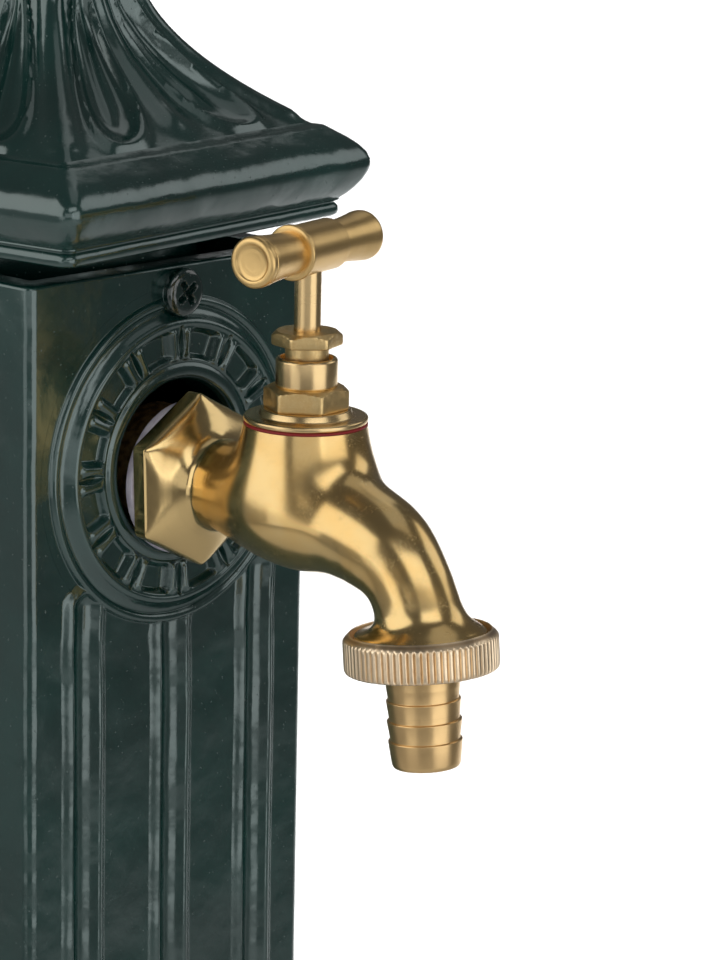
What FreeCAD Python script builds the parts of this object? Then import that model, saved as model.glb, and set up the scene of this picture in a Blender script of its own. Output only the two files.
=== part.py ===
import FreeCAD, Part
import math
import os
import re

import Sketcher
from FreeCAD import Placement, Rotation, Vector

# A standing fountain: a square cast post with a moulded cap, and a brass bib tap with a hose union.
# Millimetres. +Z is up, the origin is the middle of the underside, and the tap looks along -Y.

SIZES = {
    # Post casting
    "post_width": 86, "post_wall": 7, "post_corner": 2.5, "post_foot": 96, "post_rise": 43.9,
    "ledge_drop": 20, "ledge_thick": 4, "ledge_gap": 56,
    # Front rosette, measured from its centre
    "rosette_height": 720, "rosette_rim": 37, "rosette_bead": 1.3, "rosette_groove": 34.6,
    "rosette_dip": 0.5, "rosette_ridge": 31.2, "rosette_relief": 2.6, "rosette_inner": 22,
    "rosette_root": 4, "rosette_panels": 12, "panel_outer": 29.6, "panel_inner": 23.4,
    "panel_angle": 17, "panel_depth": 1.9, "slot_angle": 3.6, "slot_depth": 1.2, "port_radius": 18.3,
    # Reeded strips on the faces
    "reed_width": 12.6, "reed_pitch": 26.7, "reed_relief": 0.8, "reed_flute": 3.4, "reed_sink": 1.3,
    "reed_start": 26, "reed_stop": 30,
    # Base casting
    "foot_width": 150, "foot_thick": 12, "foot_bevel": 3, "plinth_width": 118, "plinth_height": 64,
    "plinth_wall": 8, "base_lip": 3.5, "base_neck_height": 6, "base_cove": 14,
    "anchor_edge": 11, "anchor_hole": 11, "spigot_rise": 24, "spigot_wall": 7, "spigot_gap": 0.3,
    # Cap casting
    "cap_turn": 7.2, "cap_gap": 5.5, "cap_lip": 48.8, "cap_lip_thick": 2.8, "cap_groove": 0.7,
    "cap_belly": 54.2, "cap_belly_rise": 11.6, "cap_shoulder": 46.2, "cap_shoulder_rise": 20.8,
    "cap_cove": 4.2, "cap_roof_rise": 58, "cap_roof_top": 15, "cap_wall": 6, "cap_neck": 35,
    "cap_neck_drop": 19.6, "cap_pad_rise": 6,
    # Finial
    "finial_foot": 12.5, "finial_waist": 7, "finial_bulb": 16, "finial_ball_rise": 28,
    "finial_height": 66, "finial_tip": 4, "finial_socket": 26, "stud": 4,
    "stud_hole_gap": 0.25, "stud_socket_gap": 0.15,
    "stud_length": 52, "stud_nut_flat": 13, "stud_nut_thick": 6.5,
    # Screws
    "screw_drop": 5.8, "screw_head": 5.1, "screw_head_thick": 2.6, "screw_shank": 2.4, "screw_length": 17,
    "screw_hole": 2.5, "screw_seat": 1.4, "base_screw_rise": 12, "pilot_ease": 0.3, "shank_ease": 0.35,
    # Water way inside the post
    "tap_drop": 3, "pipe_outer": 10.65, "pipe_bore": 8, "pipe_setback": 24, "pipe_foot": 26,
    "socket_wall": 3, "socket_depth": 13, "elbow_leg": 12, "elbow_bore": 7.5, "port_gap": 0.3,
    "boss_proud": 2.7,
    "plate_thick": 4, "plate_width": 58, "plate_gap": 1.4, "plate_screw_pitch": 46,
    "coupling_radius": 14.5, "coupling_length": 34, "coupling_flat": 29.5, "coupling_grip": 9,
    "clip_height": 330, "clip_thick": 1.6, "clip_width": 14, "clip_ear": 12,
    "clip_screw": 1.9, "clip_screw_length": 5.5,
    # Tap
    "thread": 10.45, "thread_gap": 0.06, "tap_bore": 6, "ring_radius": 17.5, "ring_thick": 2.5,
    "flange_flat": 34.5, "flange_thick": 4.2, "flange_dome": 4.6, "flange_turn": 2,
    "tail_length": 11, "neck": 9.8,
    "valve_out": 40.9, "barrel_top": 13.4, "barrel": 15.2, "barrel_rise": 18.1, "chamber": 10.6,
    "seat_rise": 3.2, "seat_bore": 5.5, "seat_thick": 2.2, "spout_fall": 10, "spout_run": 18.4,
    "spout_bend": 20, "nozzle_tilt": 5.4, "spout_root": 14.2, "spout_waist": 10.3, "spout_bore": 5.6,
    "nozzle_collar": 13.1, "nozzle_thread": 13.2, "nozzle_length": 3.7, "nozzle_bore": 9,
    # Headgear
    "washer_thick": 0.6, "bonnet_flange": 13.45, "bonnet_flange_thick": 1.4, "bonnet_boss": 10.3,
    "bonnet_boss_thick": 1.5, "bonnet_hex_flat": 16.5, "bonnet_hex_thick": 4.8, "bonnet_turn": 4.5,
    "bonnet_cup": 6.7, "bonnet_cup_rise": 6.3, "bonnet_cup_bore": 5.7, "bonnet_cup_depth": 4.2,
    "bonnet_tail": 6.2, "gland_flat": 13.7, "gland_thick": 3.2, "gland_lift": 2.6, "gland_neck": 4.7,
    "gland_turn": 18.4, "gland_reach": 1.6, "stem": 2.9, "stem_thread": 5, "stem_thread_length": 9,
    "running_gap": 0.05, "jumper_stem": 2, "jumper_stem_rise": 6,
    "jumper_disc": 7.4, "jumper_disc_thick": 1.8, "rubber": 7, "rubber_thick": 2.4,
    "rubber_nut_flat": 6.5, "rubber_nut_thick": 1.6,
    # Handle
    "handle_rise": 56.5, "handle_turn": 12, "hub": 5.4, "hub_length": 15, "hub_ring": 6.1,
    "hub_ring_length": 1.6, "bar_length": 46, "bar_end": 5.5, "bar_root": 4.6, "bar_core": 3.2,
    "bar_rim": 0.8, "bar_dish": 0.5,
    # Hose union
    "nut_outer": 16.6, "nut_height": 8.4, "nut_bevel": 1.3, "nut_mouth": 15.2, "nut_mouth_depth": 1.6,
    "nut_lip": 1.6, "nut_teeth": 72, "nut_tooth": 0.45, "nut_gap": 0.1,
    "hose_radius": 8.1, "hose_end": 7.45, "hose_bore": 6.2, "hose_length": 20.6, "hose_land": 4.6,
    "hose_barb": 4.4, "hose_barb_step": 0.45, "hose_flange": 12.5, "hose_flange_thick": 1.5,
    "seal_thick": 1.5, "seal_bore": 7,
}

doc = FreeCAD.newDocument("StandingFountain")
sheet = doc.addObject("Spreadsheet::Sheet", "Sizes")
for row, (alias, number) in enumerate(SIZES.items(), start=1):
    sheet.set("A%d" % row, alias)
    sheet.set("B%d" % row, str(number))
    sheet.setAlias("B%d" % row, alias)
doc.recompute()

PARTS = []


def size(words):
    """The value of an expression on the sheet's sizes."""
    found = sheet.evalExpression(words)
    return float(getattr(found, "Value", found))


def bind(thing, prop, words):
    """Ties a property to an expression on the sheet's sizes."""
    thing.setExpression(prop, re.sub(r"\b([a-z]+(?:_[a-z]+)+|[a-z]+)\b(?!\()", tied, words))


def tied(match):
    word = match.group(1)
    return "Sizes." + word if word in SIZES else word


def place(thing, x="0", y="0", z="0", turn="0", axis=(0, 0, 1)):
    """Moves a piece, and turns it by an angle in degrees about an axis."""
    thing.Placement = Placement(Vector(0, 0, 0), Rotation(Vector(*axis), 1))
    for name, words in (("x", x), ("y", y), ("z", z)):
        bind(thing, "Placement.Base." + name, words)
    bind(thing, "Placement.Rotation.Angle", "(%s) * 1deg" % turn)
    return thing


def part(label, thing):
    """Gives a finished piece its name and puts it on the list of parts."""
    thing.Label = label
    PARTS.append(thing)
    return thing


def box(width, depth, height, x="0", y="0", z="0"):
    """A box centred on x and y that stands on z."""
    thing = doc.addObject("Part::Box", "Box")
    bind(thing, "Length", width)
    bind(thing, "Width", depth)
    bind(thing, "Height", height)
    return place(thing, "%s - (%s) / 2" % (x, width), "%s - (%s) / 2" % (y, depth), z)


def rod(radius, length, x="0", y="0", z="0", turn="0", axis=(1, 0, 0)):
    """A cylinder whose end is at x, y and z; it points up before it is turned."""
    thing = doc.addObject("Part::Cylinder", "Rod")
    bind(thing, "Radius", radius)
    bind(thing, "Height", length)
    return place(thing, x, y, z, turn, axis)


def hexagon(flat, length, x="0", y="0", z="0", turn="0"):
    """An upright hexagonal prism, with its size across flats."""
    thing = doc.addObject("Part::Prism", "Hexagon")
    thing.Polygon = 6
    bind(thing, "Circumradius", "(%s) / sqrt(3)" % flat)
    bind(thing, "Height", length)
    return place(thing, x, y, z, turn)


def fuse(*pieces):
    """All the pieces as one."""
    thing = doc.addObject("Part::MultiFuse", "Fuse")
    thing.Shapes = list(pieces)
    return thing


def common(*pieces):
    """What all the pieces share."""
    thing = doc.addObject("Part::MultiCommon", "Common")
    thing.Shapes = list(pieces)
    return thing


def cut(base, *tools):
    """The base less every tool."""
    thing = doc.addObject("Part::Cut", "Cut")
    thing.Base = base
    thing.Tool = tools[0] if len(tools) == 1 else fuse(*tools)
    return thing


def arc(radius, side):
    """Bends the edge that follows it: the radius, and +1 or -1 for the side of its centre."""
    return {"radius": radius, "side": side}


def outline(sketch, steps):
    """Draws a closed outline in a sketch. Each step is a corner (x, y) or an arc to the next corner."""
    corners = [step for step in steps if isinstance(step, tuple)]
    bends = {}
    count = 0
    for step in steps:
        if isinstance(step, tuple):
            count += 1
        else:
            bends[count - 1] = step
    points = [Vector(size(x), size(y), 0) for x, y in corners]
    starts = []
    for index, point in enumerate(points):
        goal = points[(index + 1) % len(points)]
        if index not in bends:
            starts.append((sketch.addGeometry(Part.LineSegment(point, goal)), 1, 2))
            continue
        radius = size(bends[index]["radius"])
        along = goal - point
        half = along.Length / 2
        across = Vector(-along.y, along.x, 0).normalize() * bends[index]["side"]
        centre = (point + goal) / 2 + across * math.sqrt(max(radius ** 2 - half ** 2, 0))
        anticlockwise = bends[index]["side"] > 0
        begin, finish = (point, goal) if anticlockwise else (goal, point)
        first = math.atan2(begin.y - centre.y, begin.x - centre.x)
        last = math.atan2(finish.y - centre.y, finish.x - centre.x)
        if last < first:
            last += 2 * math.pi
        circle = Part.Circle(centre, Vector(0, 0, 1), radius)
        curve = sketch.addGeometry(Part.ArcOfCircle(circle, first, last))
        starts.append((curve, 1, 2) if anticlockwise else (curve, 2, 1))
        held = sketch.addConstraint(Sketcher.Constraint("Radius", curve, radius))
        bind(sketch, "Constraints[%d]" % held, bends[index]["radius"])
    for index, (edge, start, end) in enumerate(starts):
        following, begin, _ = starts[(index + 1) % len(starts)]
        sketch.addConstraint(Sketcher.Constraint("Coincident", edge, end, following, begin))
        for kind, words, value, line in (
            ("DistanceX", corners[index][0], points[index].x, -2),
            ("DistanceY", corners[index][1], points[index].y, -1),
        ):
            if words == "0":
                sketch.addConstraint(Sketcher.Constraint("PointOnObject", edge, start, line))
                continue
            held = sketch.addConstraint(Sketcher.Constraint(kind, -1, 1, edge, start, value))
            bind(sketch, "Constraints[%d]" % held, words)


def new_body(name):
    return doc.addObject("PartDesign::Body", name)


def sketch_on(body, role, lift="0", side="0", *loops):
    """A sketch on an origin plane of a body, lifted off it, its own origin moved up by side."""
    drawn = body.newObject("Sketcher::SketchObject", "Outline")
    plane = [item for item in body.Origin.OriginFeatures if item.Role == role][0]
    drawn.AttachmentSupport = (plane, [""])
    drawn.MapMode = "FlatFace"
    bind(drawn, "AttachmentOffset.Base.z", lift)
    bind(drawn, "AttachmentOffset.Base.y", side)
    for steps in loops:
        outline(drawn, steps)
    return drawn


def feature(body, kind, drawn, length="", flip=False):
    """A pad or a pocket of a sketch."""
    thing = body.newObject("PartDesign::" + kind, kind)
    thing.Profile = drawn
    thing.Reversed = flip
    bind(thing, "Length", length)
    return thing


def revolve(body, drawn, axis="V_Axis"):
    """Turns a sketch right round one of its own axes."""
    thing = body.newObject("PartDesign::Revolution", "Revolution")
    thing.Profile = drawn
    thing.ReferenceAxis = (drawn, [axis])
    thing.Angle = 360
    return thing


def turned(label, steps, y="0", z="0"):
    """A turned piece: an outline of radius and height, revolved about the upright axis."""
    body = new_body("Turned")
    revolve(body, sketch_on(body, "XZ_Plane", "0", "0", steps))
    if (y, z) != ("0", "0"):
        place(body, y=y, z=z)
    return part(label, body) if label else body


def rectangle(x0, y0, x1, y1):
    """The corners of a rectangle, anticlockwise."""
    return [(x0, y0), (x1, y0), (x1, y1), (x0, y1)]


def moulding(steps):
    """A square moulding with mitred corners: one outline of half width and height, run along both sides."""
    runs = []
    for role in ("XZ_Plane", "YZ_Plane"):
        body = new_body("Run")
        mirrored = []
        for step in reversed(steps):
            mirrored.append(("-(%s)" % step[0], step[1]) if isinstance(step, tuple) else dict(step))
        drawn = sketch_on(body, role, "-foot_width / 2", "0", list(steps) + mirrored)
        feature(body, "Pad", drawn, "foot_width")
        runs.append(body)
    return common(*runs)


def expression(words):
    """Puts brackets round an expression, for use inside another."""
    return "(%s)" % words


# Levels and places that several pieces share
POST_TOP = "(rosette_height + post_rise)"
POST_FACE = "(post_width / 2)"
POST_INSIDE = "(post_width / 2 - post_wall)"
CAP_FOOT = "(rosette_height + post_rise + cap_gap)"
INLET = "(rosette_height - tap_drop)"
SCREW_HEIGHT = "(rosette_height + post_rise - screw_drop)"
RISER_Y = "(pipe_setback - post_width / 2 + post_wall)"
VALVE_Y = "(-post_width / 2 - valve_out)"
BOSS = "(port_radius - tap_drop - port_gap)"
LEDGE_FOOT = "(rosette_height + post_rise - ledge_drop - ledge_thick)"
PLATE_HEIGHT = "(2 * (post_rise + tap_drop - ledge_drop - ledge_thick - plate_gap))"


def base_foot():
    """The base casting: a foot plate, a hollow plinth, a cove up to the post, and a spigot inside it."""
    steps = [
        ("foot_width / 2", "0"), ("foot_width / 2", "foot_thick - foot_bevel"),
        ("foot_width / 2 - foot_bevel", "foot_thick"), ("plinth_width / 2", "foot_thick"),
        ("plinth_width / 2", "plinth_height"),
        ("plinth_width / 2 - foot_bevel", "plinth_height + foot_bevel"),
        arc("base_cove * 1.3", -1),
        ("post_width / 2 + base_lip", "post_foot - base_neck_height"),
        ("post_width / 2 + base_lip", "post_foot"),
    ]
    shell = moulding(steps)
    spigot_width = "(post_width - 2 * post_wall - 2 * spigot_gap)"
    solid = fuse(shell, box(spigot_width, spigot_width, "spigot_rise", z="post_foot"))
    hollow = "(plinth_width - 2 * plinth_wall)"
    passage = "(post_width - 2 * post_wall - 2 * spigot_gap - 2 * spigot_wall)"
    tools = [
        box(hollow, hollow, "plinth_height - plinth_wall"),
        box(passage, passage, "post_foot + spigot_rise"),
    ]
    for x, y in ((1, 1), (-1, 1), (-1, -1), (1, -1)):
        tools.append(rod("anchor_hole / 2", "foot_thick", "%d * (foot_width / 2 - anchor_edge)" % x,
                         "%d * (foot_width / 2 - anchor_edge)" % y))
    for side in range(4):
        height = "post_foot + base_screw_rise"
        tools.append(side_rod("screw_shank - pilot_ease", "post_width / 2", "0", height, side))
    return part("base_foot", cut(solid, *tools))


def side_rod(radius, length, start, height, side):
    """A cylinder that runs outwards, square to one of the four sides: 0 is front, then anticlockwise."""
    across, out = ((0, -1), (1, 0), (0, 1), (-1, 0))[side]
    axis = ((1, 0, 0), (0, 1, 0), (1, 0, 0), (0, 1, 0))[side]
    angle = ("90", "90", "-90", "-90")[side]
    x, y = "%d * (%s)" % (across, start), "%d * (%s)" % (out, start)
    return rod(radius, length, x, y, height, angle, axis)


def post():
    """The post casting: a square tube with a ledge, reeded faces and the rosette round the tap's port."""
    body = new_body("Post")
    half = "post_width / 2"
    tube = rectangle("-" + half, "-" + half, half, half)
    drawn = sketch_on(body, "XY_Plane", "post_foot", "0", tube)
    pad = feature(body, "Pad", drawn, POST_TOP + " - post_foot")
    doc.recompute()
    corners = [
        "Edge%d" % (number + 1) for number, edge in enumerate(pad.Shape.Edges)
        if abs(edge.tangentAt(edge.FirstParameter).z) > 0.9
    ]
    rounded = body.newObject("PartDesign::Fillet", "Corners")
    rounded.Base = (pad, corners)
    bind(rounded, "Radius", "post_corner")
    for side in range(4):
        reeds(body, side)
    rosette(body)
    inner = rectangle("-" + POST_INSIDE, "-" + POST_INSIDE, POST_INSIDE, POST_INSIDE)
    gap = rectangle("-ledge_gap / 2", "-ledge_gap / 2", "ledge_gap / 2", "ledge_gap / 2")
    feature(body, "Pocket", sketch_on(body, "XY_Plane", POST_TOP, "0", inner), "ledge_drop")
    feature(body, "Pocket", sketch_on(body, "XY_Plane", POST_TOP, "0", gap), "ledge_drop + ledge_thick")
    feature(body, "Pocket", sketch_on(body, "XY_Plane", "post_foot", "0", inner),
            LEDGE_FOOT + " - post_foot", flip=True)
    doc.recompute()
    bosses = [side_rod("screw_head - 0.4", "post_wall + screw_seat", POST_INSIDE, SCREW_HEIGHT, side)
              for side in (0, 2)]
    holes = [side_rod("screw_hole", "post_wall + rosette_root", POST_INSIDE, SCREW_HEIGHT, side)
             for side in (0, 2)]
    holes += [side_rod("screw_hole", "post_wall + 1", POST_INSIDE, "post_foot + base_screw_rise", side)
              for side in range(4)]
    for x in (-1, 1):
        holes.append(rod("clip_screw", "post_wall - 2", "%d * plate_screw_pitch / 2" % x, "-" + POST_INSIDE,
                         INLET, "90"))
        holes.append(rod("clip_screw", "post_wall - 2", "%d * (pipe_outer + clip_thick + clip_ear / 2)" % x,
                         "-" + POST_INSIDE, "clip_height", "90"))
    return part("post", cut(fuse(body, *bosses), *holes))


def reeds(body, side):
    """Three raised strips up one face, each with a half-round flute along it, stopped under the rosette."""
    role, sign = (("XZ_Plane", 1), ("YZ_Plane", 1), ("XZ_Plane", -1), ("YZ_Plane", -1))[side]
    for column in (-1, 0, 1):
        middle = "%d * reed_pitch" % column
        stop = POST_TOP + " - reed_stop"
        if side == 0:
            edge = "(%d * reed_pitch + reed_width / 2)" % abs(column)
            stop = "rosette_height - sqrt((rosette_rim - 0.5) ^ 2 - %s ^ 2)" % edge
        foot = "post_foot + reed_start"
        strip = rectangle(middle + " - reed_width / 2", foot, middle + " + reed_width / 2", stop)
        lift = "post_width / 2 + reed_relief"
        if sign < 0:
            lift = "-post_width / 2 - reed_relief"
        drawn = sketch_on(body, role, lift, "0", strip)
        feature(body, "Pad", drawn, "reed_relief + 1", flip=sign > 0)
        deep = "(reed_relief + reed_sink)"
        radius = "((reed_flute ^ 2 + (%s) ^ 2) / (2 * %s))" % (deep, deep)
        level = "(post_width / 2 + reed_relief)"
        floor = "(%s - %s)" % (level, deep)
        across = {0: lambda u, v: (u, "-" + v), 1: lambda u, v: (v, u),
                  2: lambda u, v: (u, v), 3: lambda u, v: ("-" + v, u)}[side]
        turn = (1, 1, -1, -1)[side]
        low, high = middle + " - reed_flute", middle + " + reed_flute"
        steps = [across(expression(low), level), arc(radius, -turn),
                 across(expression(high), level),
                 across(expression(high), "(%s + 1)" % level), across(expression(low), "(%s + 1)" % level)]
        top = stop + " - reed_width / 4"
        drawn = sketch_on(body, "XY_Plane", top, "0", steps)
        feature(body, "Pocket", drawn, "%s - (%s) - reed_width / 4" % (top, foot))


def rosette(body):
    """The round rosette: a beaded rim, a cove, a band of panels and slots, and the port in its middle."""
    face = "-post_width / 2"
    steps = [
        (face + " + rosette_root", "port_radius"), (face + " + rosette_root", "rosette_rim"),
        (face, "rosette_rim"), arc("rosette_bead * 1.6", 1),
        (face + " - rosette_bead", "rosette_rim - rosette_bead * 1.1"), arc("rosette_bead * 1.6", 1),
        (face + " - rosette_dip", "rosette_groove"), arc("rosette_relief * 2.4", -1),
        (face + " - rosette_relief", "rosette_ridge"),
        (face + " - rosette_relief", "rosette_inner"), arc("rosette_inner", 1),
        (face + " - rosette_relief * 0.8", "port_radius + 1.2"), arc("2", 1),
        (face + " - rosette_relief * 0.3", "port_radius"),
    ]
    clear = "rosette_rim - rosette_bead"
    new_hole(body, clear, "XZ_Plane", "post_width / 2 + reed_relief", "rosette_height", "reed_relief")
    revolve(body, sketch_on(body, "YZ_Plane", "0", "rosette_height", steps), "H_Axis")
    doc.recompute()
    lift = "post_width / 2 + rosette_relief"
    for angle, first, depth in (("panel_angle", "15", "panel_depth"), ("slot_angle", "0", "slot_depth")):
        opening = []
        edges = (("panel_inner", -1), ("panel_outer", -1), ("panel_outer", 1), ("panel_inner", 1))
        for radius, sign in edges:
            bearing = "((90 - %s + %d * %s / 2) * 1deg)" % (first, -sign, angle)
            opening.append(("%s * cos%s" % (radius, bearing), "%s * sin%s" % (radius, bearing)))
        drawn = sketch_on(body, "XZ_Plane", lift, "rosette_height", opening)
        pocket = feature(body, "Pocket", drawn, depth)
        pattern = body.newObject("PartDesign::PolarPattern", "Round")
        pattern.Originals = [pocket]
        pattern.Axis = (drawn, ["N_Axis"])
        pattern.Angle = 360
        bind(pattern, "Occurrences", "rosette_panels")
        body.Tip = pattern
        doc.recompute()
    new_hole(body, "port_radius", "XZ_Plane", lift, "rosette_height", "post_wall + rosette_relief + 1")


def new_hole(body, radius, role, lift, side, depth):
    """A round pocket about a sketch's own origin."""
    drawn = sketch_on(body, role, lift, side)
    circle = drawn.addGeometry(Part.Circle(Vector(0, 0, 0), Vector(0, 0, 1), size(radius)))
    drawn.addConstraint(Sketcher.Constraint("Coincident", circle, 3, -1, 1))
    held = drawn.addConstraint(Sketcher.Constraint("Radius", circle, size(radius)))
    bind(drawn, "Constraints[%d]" % held, radius)
    return feature(body, "Pocket", drawn, depth)


def cap():
    """The cap casting: lip, bellied moulding and hollow-sided roof, on a round neck inside the post."""
    foot = CAP_FOOT
    roof_half = "cap_shoulder - cap_cove"
    steps = [
        ("cap_lip", foot), ("cap_lip", foot + " + cap_lip_thick"),
        ("cap_lip - cap_groove", foot + " + cap_lip_thick + 0.6"), arc("cap_belly_rise * 1.5", 1),
        ("cap_belly", foot + " + cap_belly_rise"), arc("cap_belly_rise * 0.95", 1),
        ("cap_shoulder", foot + " + cap_shoulder_rise"),
        (roof_half, foot + " + cap_shoulder_rise + 0.8"), arc("cap_roof_rise * 1.15", -1),
        ("cap_roof_top", foot + " + cap_roof_rise"),
        ("cap_roof_top", foot + " + cap_roof_rise + cap_pad_rise"),
    ]
    neck_foot = POST_TOP + " - cap_neck_drop"
    solid = fuse(moulding(steps), rod("cap_neck", "cap_gap + cap_neck_drop + 2", z=neck_foot))
    hollow = turned("", [
        ("0", neck_foot + " - 1"), ("cap_neck - cap_wall", neck_foot + " - 1"),
        ("cap_neck - cap_wall", foot + " + cap_lip_thick"), ("cap_roof_top", foot + " + cap_shoulder_rise"),
        ("cap_roof_top - cap_wall", foot + " + cap_roof_rise - 2 * cap_wall"),
        ("0", foot + " + cap_roof_rise - 2 * cap_wall"),
    ])
    hole = rod("stud + stud_hole_gap", "cap_roof_rise", z=foot)
    pad_hole = rod("stud + stud_hole_gap", "cap_pad_rise + 1", z=foot + " + cap_roof_rise")
    screws = []
    for side in (0, 2):
        start = "cap_neck - cap_wall - 1"
        pilot = side_rod("screw_shank - pilot_ease", "cap_wall + 2", start, SCREW_HEIGHT, side)
        turned_back = doc.addObject("Part::Compound", "Pilot")
        turned_back.Links = [pilot]
        screws.append(place(turned_back, turn="-cap_turn"))
    thing = cut(solid, hollow, hole, pad_hole, *screws)
    return part("cap", place(thing, turn="cap_turn"))


def finial():
    """The finial: a turned bud on a waisted foot, held by a stud and nut from inside the cap."""
    foot = "(%s + cap_roof_rise + cap_pad_rise)" % CAP_FOOT
    top = "(%s + finial_height)" % foot
    ball_height = "(%s + finial_ball_rise)" % foot
    tip_height = "(%s - finial_tip)" % top
    slope = "asin((finial_bulb - finial_tip) / (%s - %s))" % (tip_height, ball_height)
    neck_drop = "sqrt(finial_bulb ^ 2 - (finial_waist + 2) ^ 2)"
    turned("finial", [
        ("stud + stud_socket_gap", foot), ("finial_foot", foot),
        ("finial_foot", foot + " + 3"), arc("9", -1),
        ("finial_waist", foot + " + 11"), ("finial_waist + 2", "%s - %s" % (ball_height, neck_drop)),
        arc("finial_bulb", 1),
        ("finial_bulb * cos(%s)" % slope, "%s + finial_bulb * sin(%s)" % (ball_height, slope)),
        ("finial_tip * cos(%s)" % slope, "%s + finial_tip * sin(%s)" % (tip_height, slope)),
        arc("finial_tip", 1), ("0", top), ("0", foot + " + finial_socket"),
        ("stud + stud_socket_gap", foot + " + finial_socket"),
    ])
    part("finial_stud", rod("stud", "stud_length", z="(%s + finial_socket - stud_length - 0.3)" % foot))
    seat = "(%s + cap_roof_rise - 2 * cap_wall)" % CAP_FOOT
    nut = hexagon("stud_nut_flat", "stud_nut_thick", z=seat + " - stud_nut_thick")
    part("finial_nut", cut(nut, rod("stud + thread_gap", "stud_nut_thick", z=seat + " - stud_nut_thick")))


def pan_screw(side, height, seat):
    """A pan-head screw that goes in square to one side; seat is the distance of its seat from the middle."""
    shank = side_rod("screw_shank - shank_ease", "screw_length", seat + " - screw_length", height, side)
    head = new_body("Head")
    revolve(head, sketch_on(head, "XZ_Plane", "0", "0", [
        ("0", "0"), ("screw_head", "0"), ("screw_head", "screw_head_thick * 0.45"),
        ("screw_head * 0.84", "screw_head_thick * 0.86"), ("screw_head * 0.6", "screw_head_thick"),
        ("0", "screw_head_thick"),
    ]))
    across, out = ((0, -1), (1, 0), (0, 1), (-1, 0))[side]
    axis = ((1, 0, 0), (0, 1, 0), (1, 0, 0), (0, 1, 0))[side]
    place(head, "%d * (%s)" % (across, seat), "%d * (%s)" % (out, seat), height,
          ("90", "90", "-90", "-90")[side], axis)
    return fuse(shank, head)


def screws():
    """The cap's two screws and the four that hold the post to the base."""
    cap_seat = "(post_width / 2 + screw_seat)"
    pair = [pan_screw(side, SCREW_HEIGHT, cap_seat) for side in (0, 2)]
    group("cap_screws", pair)
    group("base_screws", [pan_screw(side, "post_foot + base_screw_rise", POST_FACE) for side in range(4)])


def group(label, pieces):
    """Several solids of one kind as one part."""
    thing = doc.addObject("Part::Compound", "Group")
    thing.Links = pieces
    return part(label, thing)


def water_way():
    """The riser pipe, its coupling at the foot, the clip, and the wall-plate elbow behind the port."""
    elbow_foot = "(%s - pipe_outer - elbow_leg)" % INLET
    pipe_top = "(%s + socket_depth - 1)" % elbow_foot
    part("riser_pipe", cut(
        rod("pipe_outer", pipe_top + " - pipe_foot", y=RISER_Y, z="pipe_foot"),
        rod("pipe_bore", pipe_top + " - pipe_foot", y=RISER_Y, z="pipe_foot"),
    ))
    coupling_foot = "(pipe_foot - coupling_length / 2 - 1)"
    part("inlet_coupling", cut(
        fuse(rod("coupling_radius", "coupling_length", y=RISER_Y, z=coupling_foot),
             hexagon("coupling_flat", "coupling_grip", y=RISER_Y, z=coupling_foot)),
        rod("thread + thread_gap", "coupling_length / 2", y=RISER_Y, z=coupling_foot),
        rod("pipe_bore", "coupling_length", y=RISER_Y, z=coupling_foot),
        rod("pipe_outer + thread_gap", "coupling_length", y=RISER_Y, z="pipe_foot"),
    ))
    face = "(-post_width / 2)"
    inside = "(-post_width / 2 + post_wall)"
    leg = "pipe_outer + socket_wall"
    solid = fuse(
        rod(BOSS, "post_wall + boss_proud", y=inside, z=INLET, turn="90"),
        box("plate_width", "plate_thick", PLATE_HEIGHT, y=inside + " + plate_thick / 2",
            z="%s - %s / 2" % (INLET, PLATE_HEIGHT)),
        rod(BOSS, "pipe_setback", y=RISER_Y, z=INLET, turn="90"),
        rod(leg, "%s - %s" % (INLET, elbow_foot), y=RISER_Y, z=elbow_foot),
        ball(leg, RISER_Y, INLET),
    )
    thing = cut(
        solid,
        rod("thread + thread_gap", "tail_length + 4", y=face + " - boss_proud + tail_length + 4", z=INLET,
            turn="90"),
        rod("elbow_bore", "pipe_setback", y=RISER_Y, z=INLET, turn="90"),
        rod("elbow_bore", "%s - %s" % (INLET, elbow_foot), y=RISER_Y, z=elbow_foot),
        rod("pipe_outer + thread_gap", "socket_depth", y=RISER_Y, z=elbow_foot),
        *[rod("clip_screw + 0.3", "plate_thick + 4", "%d * plate_screw_pitch / 2" % x,
              inside + " + plate_thick + 2", INLET, "90") for x in (-1, 1)],
    )
    part("elbow", thing)
    clip(inside)
    group("plate_screws", [inside_screw("%d * plate_screw_pitch / 2" % x, inside + " + plate_thick", INLET)
                           for x in (-1, 1)])
    group("clip_screws", [
        inside_screw("%d * (pipe_outer + clip_thick + clip_ear / 2)" % x, inside + " + clip_thick",
                     "clip_height") for x in (-1, 1)])


def ball(radius, y, z):
    thing = doc.addObject("Part::Sphere", "Ball")
    bind(thing, "Radius", radius)
    return place(thing, y=y, z=z)


def inside_screw(x, seat, height):
    """A small screw that goes forwards into the front wall from inside; its head stands on the seat."""
    head = rod("clip_screw * 1.9", "1.6", x, seat + " + 1.6", height, "90")
    shank = rod("clip_screw - 0.1", "clip_screw_length", x, seat, height, "90")
    return fuse(head, shank)


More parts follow.
